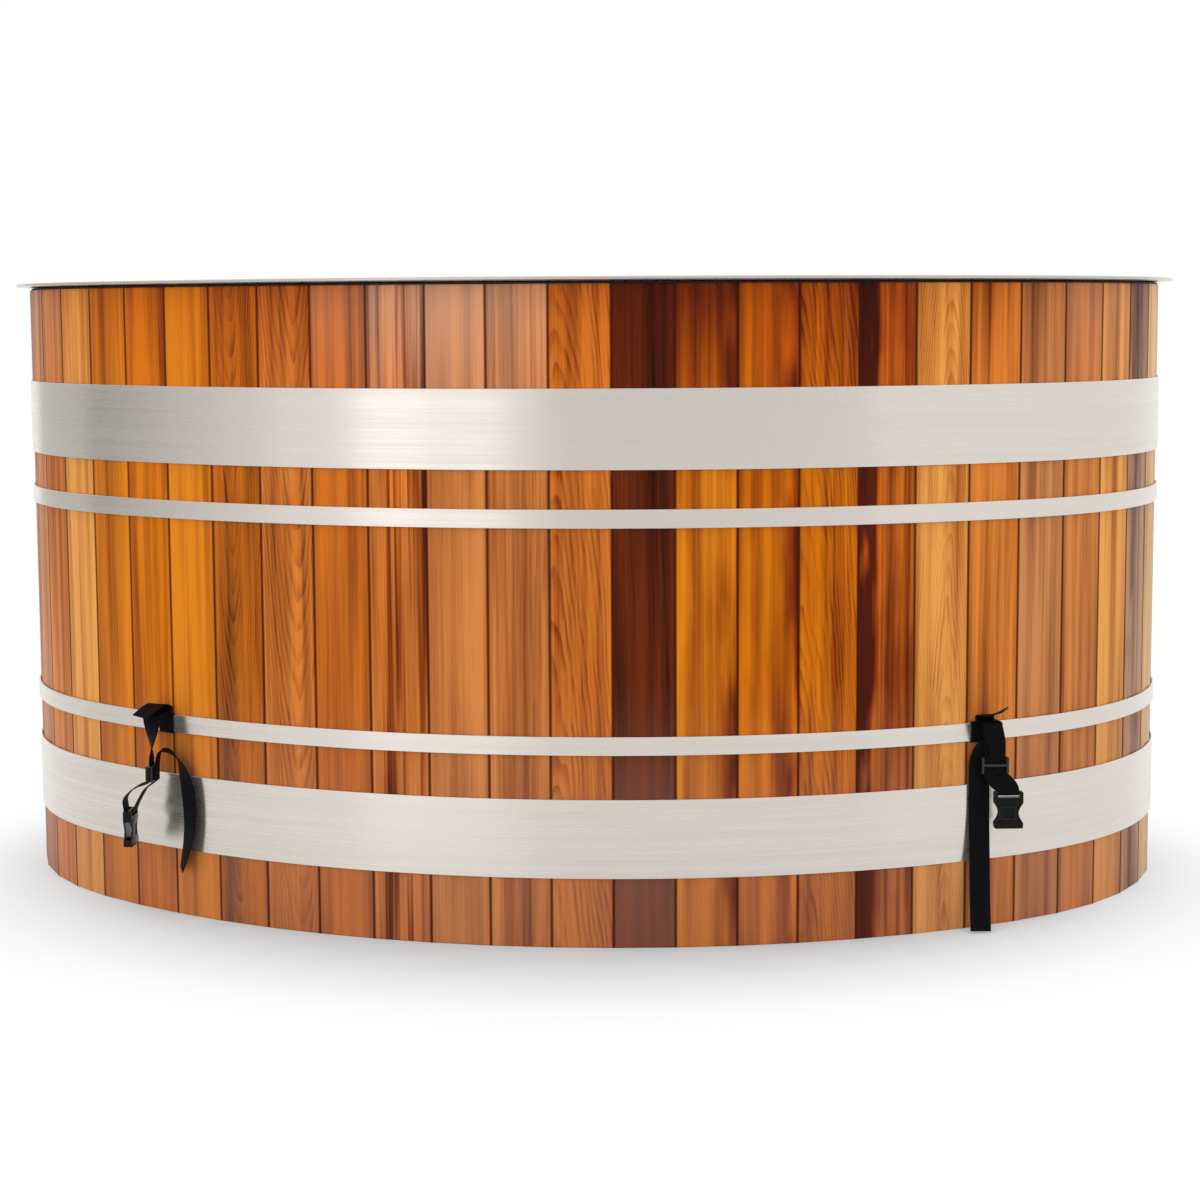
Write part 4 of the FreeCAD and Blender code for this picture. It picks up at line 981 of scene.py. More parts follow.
@dataclass
class StaveWall:
    """The 58 bevelled staves, in the frame's ten groups. A hole has its radius and its height."""

    oval: Oval
    thickness: float = 35 * MM
    height: float = 777 * MM
    gap: float = 0.1 * MM
    rounding: float = 1.1 * MM
    arris: float = 1.8 * MM
    holes: tuple[tuple[float, float], ...] = (mm(17.5, 296.5), mm(17.5, 450.5), mm(17.0, 30))
    drill_reach: tuple[float, float] = mm(-50, 100)

    def blank(self, turn: float) -> Object:
        """Plane one stave in the front pose.

        Args:
            turn: The angle that it covers.

        Returns:
            The new object.
        """
        width = self.oval.face - self.gap
        obj = block((width, self.thickness, self.height), (0, self.thickness / 2, self.height / 2))
        open_up(obj, "DESELECT")
        pick(obj, Element.FACE, lambda at, normal: normal.y > ALIGNED)
        narrow = 1 - 2 * self.thickness * math.tan(turn / 2) / width
        bpy.ops.transform.resize(value=(narrow, 1, 1), center_override=(0, self.thickness, self.height / 2))
        pick(obj, Element.EDGE, lambda at, along: at.y < MM and abs(along.z) > ALIGNED)
        bpy.ops.mesh.bevel(offset=self.rounding, segments=3, affect="EDGES")
        pick(obj, Element.EDGE, lambda at, along: at.y < MM and abs(along.x) > ALIGNED)
        bpy.ops.mesh.bevel(offset=self.arris, segments=3, affect="EDGES")
        let_go()
        return obj

    def mark(self, obj: Object, board: CedarBoard, seed: int) -> None:
        """Write a stave's own grain onto its corners.

        Args:
            obj: The stave in the front pose.
            board: Its timber.
            seed: Its number.
        """
        draw = random.Random(seed)
        hand = draw.choice((-1, 1))
        side, depth, rise, waver, spacing, show = board.cut.value
        facts = {
            "heart": (hand * side * draw.uniform(0.7, 1.3) * MM, depth * draw.uniform(0.8, 1.4) * MM,
                      waver * MM),
            "lot": (draw.uniform(0, 20), spacing * draw.uniform(0.85, 1.25) * MM,
                    draw.choice((-1, 1)) * rise * draw.uniform(0.8, 1.2)),
            "marks": board.stain.value[:3],
        }
        mesh = obj.data
        count = len(mesh.vertices)
        places = [value for corner in mesh.vertices for value in corner.co]
        mesh.attributes.new("grain_at", "FLOAT_VECTOR", "POINT").data.foreach_set("vector", places)
        for name, value in facts.items():
            mesh.attributes.new(name, "FLOAT_VECTOR", "POINT").data.foreach_set("vector", list(value) * count)
        for name, code, extra in zip(("tone", "deep"), board.tone.value, (show, board.stain.value[3])):
            colour = [*linear(code)[:3], extra]
            mesh.attributes.new(name, "FLOAT_COLOR", "POINT").data.foreach_set("color", colour * count)

    def drill(self, obj: Object) -> None:
        """Drill the rear middle stave for the plumbing.

        Args:
            obj: The stave in the front pose.
        """
        for radius, z in self.holes:
            start, end = (Vector((0, y, z)) for y in self.drill_reach)
            combine(obj, rod(radius, start, end, 64), "DIFFERENCE")

    def build(self, finish: Material) -> None:
        """Copy the staves to their seats and join them by group.

        Args:
            finish: The staves' finish.
        """
        oval = self.oval
        side, end = self.blank(oval.side_turn), self.blank(oval.end_turn)
        middle = (oval.per_side - 1) / 2
        places, numbers = [k - middle for k in range(oval.per_side)], range(oval.per_end)
        runs = [
            (("front_left", "front", "front_right"), FRONT, side, [oval.side_seat(p) for p in places]),
            (("right_front", "right_rear"), RIGHT, end, [oval.end_seat(n) for n in numbers]),
            (("rear_right", "rear", "rear_left"), REAR, side, [oval.side_seat(p, True) for p in places]),
            (("left_rear", "left_front"), LEFT, end, [oval.end_seat(n, True) for n in numbers]),
        ]
        seed = 0
        for names, timber, blank, seats in runs:
            groups: dict[str, list[Object]] = {name: [] for name in names}
            for k, (board, seat) in enumerate(zip(timber, seats)):
                stave = blank.copy()
                stave.data = blank.data.copy()
                bpy.context.collection.objects.link(stave)
                if timber is REAR and k == int(middle):
                    self.drill(stave)
                seed += 1
                self.mark(stave, board, seed)
                stave.data.transform(seat.matrix())
                groups[names[k * len(names) // len(seats)]].append(stave)
            for name, staves in groups.items():
                take(*staves)
                bpy.ops.object.join()
                smooth(staves[0])
                hand_over(staves[0], "cedar_" + name, TUB, "cedar", finish, "staves_" + name)
        for blank in (side, end):
            bpy.data.meshes.remove(blank.data)


# Bands and rim
@dataclass
class BandSet:
    """Two wide bands and two hoops, open at their draw lugs: name, lower edge, upper edge, thickness."""

    oval: Oval
    clearance: float = 0.05 * MM
    edge: float = 0.35 * MM
    closure_place: float = 4.0
    closure_gap: float = 30 * MM
    bands: tuple[tuple[str, float, float, float], ...] = (
        ("upper_wide_band", *mm(563, 657, 1.5)),
        ("upper_hoop", *mm(495.5, 517.5, 2.0)),
        ("lower_hoop", *mm(229.5, 251.5, 2.0)),
        ("lower_wide_band", *mm(83, 177, 1.5)),
    )

    def build(self, finish: Material, fastener: Material) -> None:
        """Spin the bands and dress their lugs, bolts and nuts.

        Args:
            finish: The bands' finish.
            fastener: The bolts' and nuts' finish.
        """
        middle = math.pi + self.closure_place * self.oval.side_turn
        half = self.closure_gap / 2 / self.oval.side_radius
        for name, low, high, thick in self.bands:
            a, b, e = self.clearance, self.clearance + thick, self.edge
            section = [(a, low), (b - e, low), (b, low + e), (b, high - e), (b - e, high), (a, high)]
            band = self.oval.sweep(section, (middle - half, middle + half))
            smooth(band)
            hand_over(band, "steel_" + name, TUB, "brushed_steel", finish, name)
        dress(finish, "band_lugs")
        dress(fastener, "band_bolts", "band_nuts")


@dataclass
class RimAndLiner:
    """The folded rim, the black rubber strip under it that also stands for shade, and the steel vessel."""

    oval: Oval
    inset: float = 63.0 * MM
    overhang: float = 17 * MM
    base: float = 779 * MM
    edge: float = 6 * MM
    fold: float = 1.9 * MM
    sheet: float = 1.2 * MM
    leg: float = 27 * MM
    facets: int = 8

    def hem(self, radius: float) -> list[tuple[float, float]]:
        """Half-round of the fold, from above to below.

        Args:
            radius: Its radius.

        Returns:
            Section points.
        """
        middle, height = self.overhang - self.fold, self.base + self.edge - self.fold
        turns = [math.pi / 2 - math.pi * k / self.facets for k in range(self.facets + 1)]
        return [(middle + radius * math.cos(t), height + radius * math.sin(t)) for t in turns]

    def build(self, finishes: Finishes) -> None:
        """Spin the rim and dress the vessel.

        Args:
            finishes: The tub's materials.
        """
        top = self.base + self.edge
        section = [(-self.inset, top), *self.hem(self.fold), (-self.leg, self.base),
                   (-self.leg, self.base + self.sheet), *reversed(self.hem(self.fold - self.sheet)),
                   (-self.inset, top - self.sheet)]
        rim = self.oval.sweep(section)
        smooth(rim)
        hand_over(rim, "steel_rim", TUB, "brushed_steel", finishes.rim, "rim_flange")
        dress(finishes.liner, "liner_wall", "liner_floor")
        # The black seal under the rim also stands for the shade in the gap under the flange.
        dress(finishes.rubber, "rim_seal")


# Straps
def smooth_line(points: Sequence[Vector], steps: int = 14) -> list[Vector]:
    """Read the points of the smooth line that has these control points.

    Args:
        points: The route's points.
        steps: Points to a run.

    Returns:
        The points along the line.
    """
    curve = bpy.data.curves.new("route", "CURVE")
    curve.dimensions = "3D"
    spline = curve.splines.new("NURBS")
    spline.points.add(len(points) - 1)
    for spot, point in zip(spline.points, points):
        spot.co = (*point, 1)
    spline.order_u = 3
    spline.use_endpoint_u = True
    spline.resolution_u = steps
    holder = bpy.data.objects.new("route", curve)
    mesh = bpy.data.meshes.new_from_object(holder)
    line = [corner.co.copy() for corner in mesh.vertices]
    bpy.data.meshes.remove(mesh)
    bpy.data.objects.remove(holder)
    bpy.data.curves.remove(curve)
    return line


@dataclass(frozen=True)
class Webbing:
    """Flat woven webbing along a smooth line."""

    width: float = 25.4 * MM
    thick: float = 1.5 * MM
    edge: float = 0.45 * MM
    selvedge: float = 2.2 * MM

    def section(self) -> list[tuple[float, float]]:
        """Draw the webbing's section, with full selvedges and a face that is slightly raised.

        Returns:
            Points across and through.
        """
        w, t = self.width / 2, self.thick / 2
        half = [(w, 0.4 * t), (w - self.edge, 0.85 * t), (w - self.selvedge, 0.8 * t), (w / 2, t)]
        face = [(-x, y) for x, y in half] + half[::-1]
        return face + [(x, -y) for x, y in reversed(face)]

    def lay(self, route: Sequence[tuple[Vector, Vector]], first: int = 0,
            last: int | None = None) -> tuple[Object, list[Vector]]:
        """Weave a strip along a route.

        Args:
            route: Control points, each with the direction across the webbing.
            first: Where it starts on the smooth line, in points.
            last: Where it stops, or nothing for the line's end.

        Returns:
            The new object and the line that it follows.
        """
        line = smooth_line([spot for spot, _ in route])[first:last]
        side = smooth_line([spot + across * self.width / 2 for spot, across in route])[first:last]
        section = self.section()
        corners, ways = [], [0.0]
        for k, spot in enumerate(line):
            along = line[min(k + 1, len(line) - 1)] - line[max(k - 1, 0)]
            along.normalize()
            across = side[k] - spot
            across = (across - along * across.dot(along)).normalized()
            through = along.cross(across)
            corners += [spot + across * x + through * y for x, y in section]
            if k:
                ways.append(ways[-1] + (spot - line[k - 1]).length)
        n = len(section)
        faces, uvs = [], []
        for k in range(len(line) - 1):
            for j in range(n):
                i = (j + 1) % n
                faces.append((k * n + j, k * n + i, (k + 1) * n + i, (k + 1) * n + j))
                uvs += [(section[m][0], ways[r]) for m, r in ((j, k), (i, k), (i, k + 1), (j, k + 1))]
        for r in (0, len(line) - 1):
            ring = [r * n + j for j in range(n)]
            faces.append(tuple(ring if r else reversed(ring)))
            uvs += [(section[m - r * n][0], ways[r]) for m in faces[-1]]
        mesh = bpy.data.meshes.new("strip")
        mesh.from_pydata(corners, [], faces)
        layer = mesh.uv_layers.new(name="weave")
        for loop, uv in zip(layer.data, uvs):
            loop.uv = uv
        obj = bpy.data.objects.new("strip", mesh)
        bpy.context.collection.objects.link(obj)
        clean(obj)
        smooth(obj, 50)
        return obj, line


@dataclass(frozen=True)
class CoverStrap:
    """One cover strap, hung over the lower hoop: wrap, strand, slide, tail and buckle socket.

    Offsets run to the right of its place on the front, stand-offs out from the staves, and heights up
    from the floor. The hanging part is twisted about an upright line. The tab's points are stand-off,
    height and the degrees that its right edge is lifted, the loop's are offset, stand-off and height,
    and the tail's have the degrees that the webbing is turned as well.
    """

    name: str
    side: str
    place: float
    offset: float
    stand_off: float
    twist: float
    tab: tuple[tuple[float, float, float], ...]
    top_offset: float
    top_turn: float
    neck_turn: float
    slide_at: float
    bar_at: float
    sway: float
    bow: float
    loop: tuple[tuple[float, float, float], ...]
    arch_top: float
    tail: tuple[tuple[float, float, float, float], ...]
    tail_length: float
    oval: Oval = Oval()
    webbing: Webbing = Webbing()
    wrap_out: float = 3.75 * MM
    wrap_low: float = 228.5 * MM
    wrap_high: float = 252.5 * MM
    wrap_corner: float = 1.0 * MM
    wrap_end: float = 0.4 * MM
    fold_out: float = 6.0 * MM
    fold_low: float = 254.25 * MM
    twist_top: float = 247.75 * MM
    neck_rise: float = 29 * MM
    flat_rise: float = 21 * MM
    tab_keep: float = 0.35
    tail_gap: float = 0.8 * MM
    slide_height: float = 20 * MM
    slide_bar: float = 3.2 * MM
    slide_play: float = 0.6 * MM
    bar_inset: float = 1.0 * MM
    rail_rounding: float = 1.4 * MM
    bar_rounding: float = 1.3 * MM
    loop_radius: float = 2.8 * MM
    buckle: tuple[float, float, float] = mm(35, 11, 45)
    buckle_corner: float = 2.2 * MM
    buckle_bar: float = 3.6 * MM
    buckle_slot: float = 3.4 * MM
    buckle_waist: float = 24 * MM
    buckle_wall: float = 2.2 * MM
    buckle_stop: float = 14 * MM
    waist_steps: int = 12
    window_rounding: float = 0.8 * MM
    panel: tuple[float, float] = (0.5, 0.62)
    panel_cut: float = 1.2 * MM
    panel_rounding: float = 0.5 * MM
    overcut: float = 10 * MM

    @property
    def seat(self) -> Matrix:
        """Where the strap hangs."""
        return self.oval.side_seat(self.place).matrix()

    @property
    def turned(self) -> Matrix:
        """The seat with the hanging part's twist."""
        pivot = Matrix.Translation((self.offset, -self.stand_off, 0))
        return self.seat @ pivot @ Matrix.Rotation(math.radians(self.twist), 4, "Z") @ pivot.inverted()

    @property
    def clear_half(self) -> float:
        """Half of the room that the slide and the buckle leave the webbing across."""
        return self.webbing.width / 2 + self.slide_play

    def at(self, x: float, out: float, z: float, turn: float = 0.0, roll: float = 0.0,
           hanging: bool = True) -> tuple[Vector, Vector]:
        """A control point of the webbing.

        Args:
            x: Its offset.
            out: Its stand-off.
            z: Its height.
            turn: Degrees that the webbing is turned there about an upright line.
            roll: Degrees that its right edge is lifted.
            hanging: Whether it is in the twisted part.

        Returns:
            The point and the direction across the webbing.
        """
        matrix = self.turned if hanging else self.seat
        lift = math.radians(roll)
        across = Matrix.Rotation(math.radians(turn), 3, "Z") @ Vector((math.cos(lift), 0, math.sin(lift)))
        return matrix @ Vector((x, -out, z)), (matrix.to_3x3() @ across).normalized()

    def strand_route(self) -> list[tuple[Vector, Vector]]:
        """Lead the tab, the fold, and the webbing down round the buckle's bar and back to the slide.

        Returns:
            Control points, each with the direction across the webbing.
        """
        x, out, top = self.offset, self.stand_off, self.top_offset
        fold = ((self.fold_out, self.fold_low, 0), (out, self.fold_low, 0), (out, self.twist_top, 0))
        route = [self.at(top, o, z, self.top_turn, roll, False) for o, z, roll in (*self.tab, *fold)]
        route.append(self.at(x, out, self.slide_at + self.neck_rise, self.neck_turn))
        route.append(self.at(x, out, self.slide_at + self.flat_rise))
        return route + [self.at(*spot) for spot in self.loop]

    def parting(self, route: Sequence[tuple[Vector, Vector]]) -> int:
        """Find where the tab meets the wall.

        Args:
            route: The strand's control points.

        Returns:
            The point's number on the smooth line.
        """
        line = smooth_line([spot for spot, _ in route])
        meeting = (route[len(self.tab) - 1][0] + route[len(self.tab)][0]) / 2
        return min(range(len(line)), key=lambda k: (line[k] - meeting).length)

    def tail_route(self) -> list[tuple[Vector, Vector]]:
        """Lead the free end up behind the slide, over, and down to hang.

        Returns:
            Control points, each with the direction across the webbing.
        """
        x, start = self.offset, self.stand_off - 2 * self.loop_radius - self.tail_gap
        rising = (self.slide_at - self.slide_height / 2, self.arch_top)
        return [self.at(x, start, z) for z in rising] + [self.at(*spot, 0, False) for spot in self.tail]

    def wrap_route(self) -> list[tuple[Vector, Vector]]:
        """Lead the wrap round the front of the hoop, with both ends tucked behind it.

        Returns:
            Control points, each with the direction across the webbing.
        """
        o, low, high, c = self.wrap_out, self.wrap_low, self.wrap_high, self.wrap_corner
        points = ((self.wrap_end, low), (o - c, low), (o, low + c), (o, high - c), (o - c, high),
                  (self.wrap_end, high))
        return [self.at(0, out, z, 0, 0, False) for out, z in points]

    def slide(self) -> Object:
        """Mould the three-bar slide: one bar before the webbing and two behind it, between side rails.

        Returns:
            The new object.
        """
        half, bar, tall = self.clear_half, self.slide_bar, self.slide_height
        near = self.webbing.thick / 2 + self.slide_play
        far, rail = near + bar, half + bar
        x, y, z = self.offset, -self.stand_off, self.slide_at
        obj, other_rail = (block((bar, 2 * far, tall), (rail_x, y, z), self.rail_rounding, 4)
                           for rail_x in (x - half - bar / 2, x + half + bar / 2))
        combine(obj, other_rail, "UNION")
        for bar_y, bar_z in ((y - near - bar / 2, z), (y + near + bar / 2, z + tall / 2 - bar / 2),
                             (y + near + bar / 2, z - tall / 2 + bar / 2)):
            crossbar = block((2 * rail - self.bar_inset, bar, bar), (x, bar_y, bar_z), self.bar_rounding, 4)
            combine(obj, crossbar, "UNION")
        obj.data.transform(self.turned)
        return obj

    def socket_body(self, top: float, shoulder: float, collar: float) -> Object:
        """Mould the solid buckle socket about the Z axis, drawn in to its waist.

        Args:
            top: Height of its top.
            shoulder: Height where the waist starts.
            collar: Height where the waist stops.

        Returns:
            The new object.
        """
        wide, deep, tall = self.buckle
        obj = block((wide, deep, tall), (0, 0, top - tall / 2))
        open_up(obj, "DESELECT")
        span = shoulder - collar
        levels = [collar + span * k / self.waist_steps for k in range(self.waist_steps + 1)]
        for z in levels:
            bpy.ops.mesh.select_all(action="SELECT")
            bpy.ops.mesh.bisect(plane_co=(0, 0, z), plane_no=UP)
        for z in levels:
            share = math.sin(math.pi * (z - collar) / span)
            width = wide - (wide - self.buckle_waist) * share
            pick(obj, Element.CORNER, lambda at, _: abs(at.z - z) < ON_LEVEL)
            bpy.ops.transform.resize(value=(width / wide, 1, 1), center_override=(0, 0, z))
        pick(obj, Element.EDGE, lambda at, along: abs(along.y) > ALIGNED
             and (at.z > top - MM or at.z < top - tall + MM))
        bpy.ops.mesh.bevel(offset=self.buckle_corner, segments=4, affect="EDGES")
        let_go()
        ease(obj)
        return obj

    def socket(self) -> Object:
        """Mould the socket half of a side-release buckle: bar, waist, side windows and open mouth.

        Returns:
            The new object.
        """
        wide, deep, tall = self.buckle
        top = self.bar_at + self.buckle_bar / 2
        base = top - self.buckle_bar - self.buckle_slot
        shoulder, collar = base - self.buckle_stop / 2, top - tall + self.buckle_stop / 2
        span, middle = shoulder - collar, (shoulder + collar) / 2
        obj = self.socket_body(top, shoulder, collar)
        hollow, mouth = deep / 2 - self.buckle_wall, self.buckle_waist / 2 - self.buckle_wall
        slot = self.buckle_bar + self.buckle_slot + self.overcut
        floor = base - self.buckle_wall
        cuts = [
            ((2 * self.clear_half, 2 * deep, slot), (0, 0, base + slot / 2), self.window_rounding),
            ((2 * mouth, 2 * hollow, floor - top + tall + self.overcut),
             (0, 0, (floor + top - tall - self.overcut) / 2), self.window_rounding),
            ((2 * wide, 2 * hollow, span), (0, 0, middle), self.window_rounding),
        ]
        for face in (-deep / 2, deep / 2):
            size = (wide * self.panel[0], self.panel_cut, span * self.panel[1])
            cuts.append((size, (0, face, middle), self.panel_rounding))
        for size, at, rounding in cuts:
            combine(obj, block(size, at, rounding), "DIFFERENCE")
        reach = self.clear_half + MM
        ends = (Vector((hand * reach, 0, self.bar_at)) for hand in (-1, 1))
        combine(obj, rod(self.buckle_bar / 2, *ends, 24), "UNION")
        place = Vector((self.offset + self.sway, self.loop_radius - self.stand_off - self.bow, 0))
        obj.data.transform(self.turned @ Matrix.Translation(place))
        return obj

    def build(self, finishes: Finishes) -> None:
        """Make the six pieces and set them on their bodies.

        Args:
            finishes: The tub's materials.
        """
        route, name = self.strand_route(), self.name
        ring = self.parting(route)
        wrap, _ = self.webbing.lay(self.wrap_route())
        strand, line = self.webbing.lay(route, ring)
        tab, _ = self.webbing.lay(route, 0, ring + 1)
        tail, free_line = self.webbing.lay(self.tail_route())
        for strip, kind, body, nodes in ((wrap, "wrap", TUB, [name + "_wrap"]),
                                         (strand, "strand", name, [name + "_strand"]),
                                         (tab, "tab", name, []),
                                         (tail, "tail", name, [name + "_tail"])):
            hand_over(strip, f"webbing_{self.side}_{kind}", body, "webbing", finishes.webbing, *nodes)
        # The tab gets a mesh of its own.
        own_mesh(tab)
        for mould, kind, part in ((self.slide, "slide", "adjuster"),
                                  (self.socket, "buckle_socket", "buckle")):
            piece = mould()
            mark_glint_and_wear(piece)
            smooth(piece, 40)
            hand_over(piece, f"{self.side}_{kind}", f"{self.side}_{part}", "black_plastic",
                      finishes.acetal, f"{name}_{part}")


STRAPS = (
    CoverStrap(
        name="left_strap", side="left", place=-6.64, offset=-3 * MM, stand_off=27 * MM, twist=-56,
        tab=((*mm(46, 253), 0), (*mm(22, 266.5), 0), (*mm(10, 263.5), 0), (*mm(6, 260), 0)),
        top_offset=-1 * MM, top_turn=14, neck_turn=14, slide_at=181 * MM, bar_at=133 * MM, sway=0,
        bow=31 * MM,
        loop=(mm(-3, 27, 171), mm(-3, 30, 169), mm(-3, 47, 163.5), mm(-3, 62, 150), mm(-3, 60.5, 138),
              mm(-3, 59, 130.2), mm(-3, 50, 130.2), mm(-3, 48, 138), mm(-3, 41, 151), mm(-3, 34, 163),
              mm(-3, 24, 168.5), mm(-3, 21.4, 171)),
        arch_top=206 * MM,
        tail=((*mm(14, 18, 211), -50), (*mm(26, 10, 200), -36), (*mm(36, 8, 176), -12),
              (*mm(42.5, 8, 151), -2), (*mm(42.5, 7.5, 120), -10), (*mm(36.5, 8, 89), -24),
              (*mm(28, 10, 60), -36)),
        tail_length=0.215),
    CoverStrap(
        name="right_strap", side="right", place=7.74, offset=8 * MM, stand_off=24 * MM, twist=-25,
        tab=((*mm(40, 270), 24), (*mm(28, 264.5), 10), (*mm(14, 262), 0), (*mm(6, 261), 0)),
        top_offset=4.5 * MM, top_turn=-6, neck_turn=4, slide_at=202 * MM, bar_at=168 * MM, sway=17 * MM,
        bow=0,
        loop=(mm(8, 24, 192), mm(8, 24, 188), mm(25, 24, 174.1), mm(25, 24, 165.2), mm(25, 18.4, 165.2),
              mm(25, 18.4, 174.1), mm(8, 18.4, 188), mm(8, 18.4, 192)),
        arch_top=219 * MM,
        tail=((*mm(1, 13, 222), -24), (*mm(-4, 8.5, 206), -22), (*mm(-4, 8, 184), -19),
              (*mm(-3.6, 8.5, 140), -18), (*mm(-5, 12.5, 94), -18), (*mm(-9, 20, 46), -18),
              (*mm(-14.5, 31, 2.6), -18)),
        tail_length=0.255),
)


# Plumbing
@dataclass
class Plumbing:
    """Suction, return and drain at the rear: barbed hose tails, locknuts, lever and the bodies behind.

    A hose tail has its name, its start along Y and its axis's height. Its outline's points are out
    from the axis and along it, and those of a barb run along from the barb's edge.
    """

    face: float = 574.03 * MM
    tails: tuple[tuple[str, float, float], ...] = (
        ("suction", *mm(590.03, 296.5)), ("return", *mm(590.03, 450.5)), ("drain", *mm(650.03, 30)))
    collar: tuple[tuple[float, float], ...] = (mm(9, 0), mm(15, 0), mm(16, 1), mm(16, 7), mm(15, 8),
                                               mm(11.5, 8))
    barb: tuple[tuple[float, float], ...] = (mm(11.5, -0.2), mm(12.4, 0), mm(12.7, 0.6), mm(11.5, 9))
    barb_edges: tuple[float, ...] = mm(12.5, 22.0, 31.5)
    mouth: tuple[tuple[float, float], ...] = (mm(10.3, 42), mm(9.5, 42), mm(9, 41.5))
    nut_flats: float = 48 * MM
    nut_height: float = 10 * MM
    nut_hole: float = 17.1 * MM
    nut_chamfer: float = 30.0
    nut_land: float = 0.02
    turning_steps: int = 56
    stem: tuple[float, float] = mm(0, 619.03)
    stem_radius: float = 5.05 * MM
    lever_base: float = 55 * MM
    lever_size: tuple[float, float, float] = mm(92, 16, 4)
    lever_nut: tuple[float, float] = mm(13, 5)
    arm_short: float = 6 * MM
    hub_over: float = 1 * MM
    grip: tuple[float, float, float] = mm(54, 18, 7)
    grip_rounding: float = 3.2 * MM
    panel: tuple[float, float, float] = mm(38, 9, 2)
    panel_rise: float = 1.7 * MM
    panel_rounding: float = 0.6 * MM
    overcut: float = 5 * MM

    def turned(self, profile: Sequence[tuple[float, float]], base: Vector, axis: Vector) -> Object:
        """Turn a closed profile about an axis.

        Args:
            profile: Points out from the axis and along it.
            base: Where the axis starts.
            axis: Its direction, across X.

        Returns:
            The new object.
        """
        obj = trace([base + Vector((radius, 0, 0)) + axis * along for radius, along in profile])
        open_up(obj)
        bpy.ops.mesh.spin(steps=self.turning_steps, angle=math.tau, center=base, axis=axis)
        let_go()
        clean(obj)
        return obj

    def hose_tail(self, start: float, height: float) -> Object:
        """Turn a chamfered collar and a spigot with three barbs.

        Args:
            start: Where it starts along Y.
            height: Its axis above the floor.

        Returns:
            The new object.
        """
        barbs = [(radius, edge + along) for edge in self.barb_edges for radius, along in self.barb]
        return self.turned([*self.collar, *barbs, *self.mouth], Vector((0, start, height)), REARWARD)

    def hexagon(self, flats: float, height: float, hole: float, base: Vector,
                axis: Vector) -> Object:
        """A nut with its outer corners turned off.

        Args:
            flats: Its size across flats.
            height: Its height.
            hole: Radius of its hole.
            base: Middle of its seat.
            axis: The way that it faces.

        Returns:
            The new object.
        """
        corner = flats / math.sqrt(3)
        obj = rod(corner, base, base + axis * height, 6)
        if axis.y:
            # A wall nut stands on a flat.
            spot = Matrix.Translation(base)
            obj.data.transform(spot @ Matrix.Rotation(math.radians(30), 4, "Y") @ spot.inverted())
        rim, land = corner + MM, flats / 2 - self.nut_land * flats
        slope = (rim - land) * math.tan(math.radians(self.nut_chamfer))
        blank = [(hole, -MM), (rim, -MM), (rim, height - slope), (land, height), (hole, height)]
        combine(obj, self.turned(blank, base, axis), "INTERSECT")
        return obj

    def lever(self) -> Object:
        """Mould a flat arm from its hub to a thick rounded grip with a sunk panel, and its nut.

        Returns:
            The new object.
        """
        long, wide, thick = self.lever_size
        flats, tall = self.lever_nut
        low, arm = self.lever_base, long - wide / 2 - self.arm_short
        top, middle = low + thick, low + thick / 2
        (x, y), grip_x = self.stem, self.stem[0] - long + self.grip[0] / 2
        obj = block((arm, wide, thick), (x - arm / 2, y, middle))
        combine(obj, rod(wide / 2 + self.hub_over, Vector((x, y, low)), Vector((x, y, top)), 64), "UNION")
        ease(obj)
        combine(obj, block(self.grip, (grip_x, y, middle), self.grip_rounding, 5), "UNION")
        panel_at = (grip_x, y, middle + thick / 2 + self.panel_rise)
        combine(obj, block(self.panel, panel_at, self.panel_rounding), "DIFFERENCE")
        combine(obj, self.hexagon(flats, tall, self.stem_radius, Vector((x, y, top)), UP), "UNION")
        ends = (Vector((x, y, z)) for z in (low - self.overcut, top + tall + self.overcut))
        combine(obj, rod(self.stem_radius, *ends), "DIFFERENCE")
        return obj

    def build(self, finishes: Finishes) -> None:
        """Make the tails, locknuts and lever, and dress the rest.

        Args:
            finishes: The tub's materials.
        """
        for name, start, height in self.tails:
            tail = self.hose_tail(start, height)
            smooth(tail)
            hand_over(tail, name + "_barbed_tail", TUB, "grey_plastic", finishes.pvc, name + "_tail")
        for name, _, height in self.tails[:2]:
            nut = self.hexagon(self.nut_flats, self.nut_height, self.nut_hole,
                               Vector((0, self.face, height)), REARWARD)
            smooth(nut)
            hand_over(nut, name + "_chamfered_nut", TUB, "grey_plastic", finishes.pvc, name + "_locknut")
        lever = self.lever()
        mark_glint_and_wear(lever)
        smooth(lever, 35)
        hand_over(lever, "drain_grip", "drain_valve", "black_plastic", finishes.acetal, "drain_lever")
        dress(finishes.pvc, "suction_body", "return_body", "suction_grille", "return_ring", "return_nozzle",
              "drain_body", "drain_locknut", "drain_elbow", "drain_pipe", "drain_valve_body")
        dress(finishes.rubber, "suction_gasket", "return_gasket", "drain_gasket")
        dress(finishes.fastener, "drain_strainer", "drain_valve_ball", "drain_valve_stem")


@dataclass
class FloorAndFoam:
    """The floor frame and the insulation behind the staves, whose own shapes are kept."""

    timber: tuple[str, ...] = ("floor_joists", "floor_deck")
    foam: tuple[str, ...] = ("wall_insulation", "floor_insulation")

    def build(self, finishes: Finishes) -> None:
        """Dress the hidden layers."""
        dress(finishes.sawn, *self.timber)
        dress(finishes.foam, *self.foam)


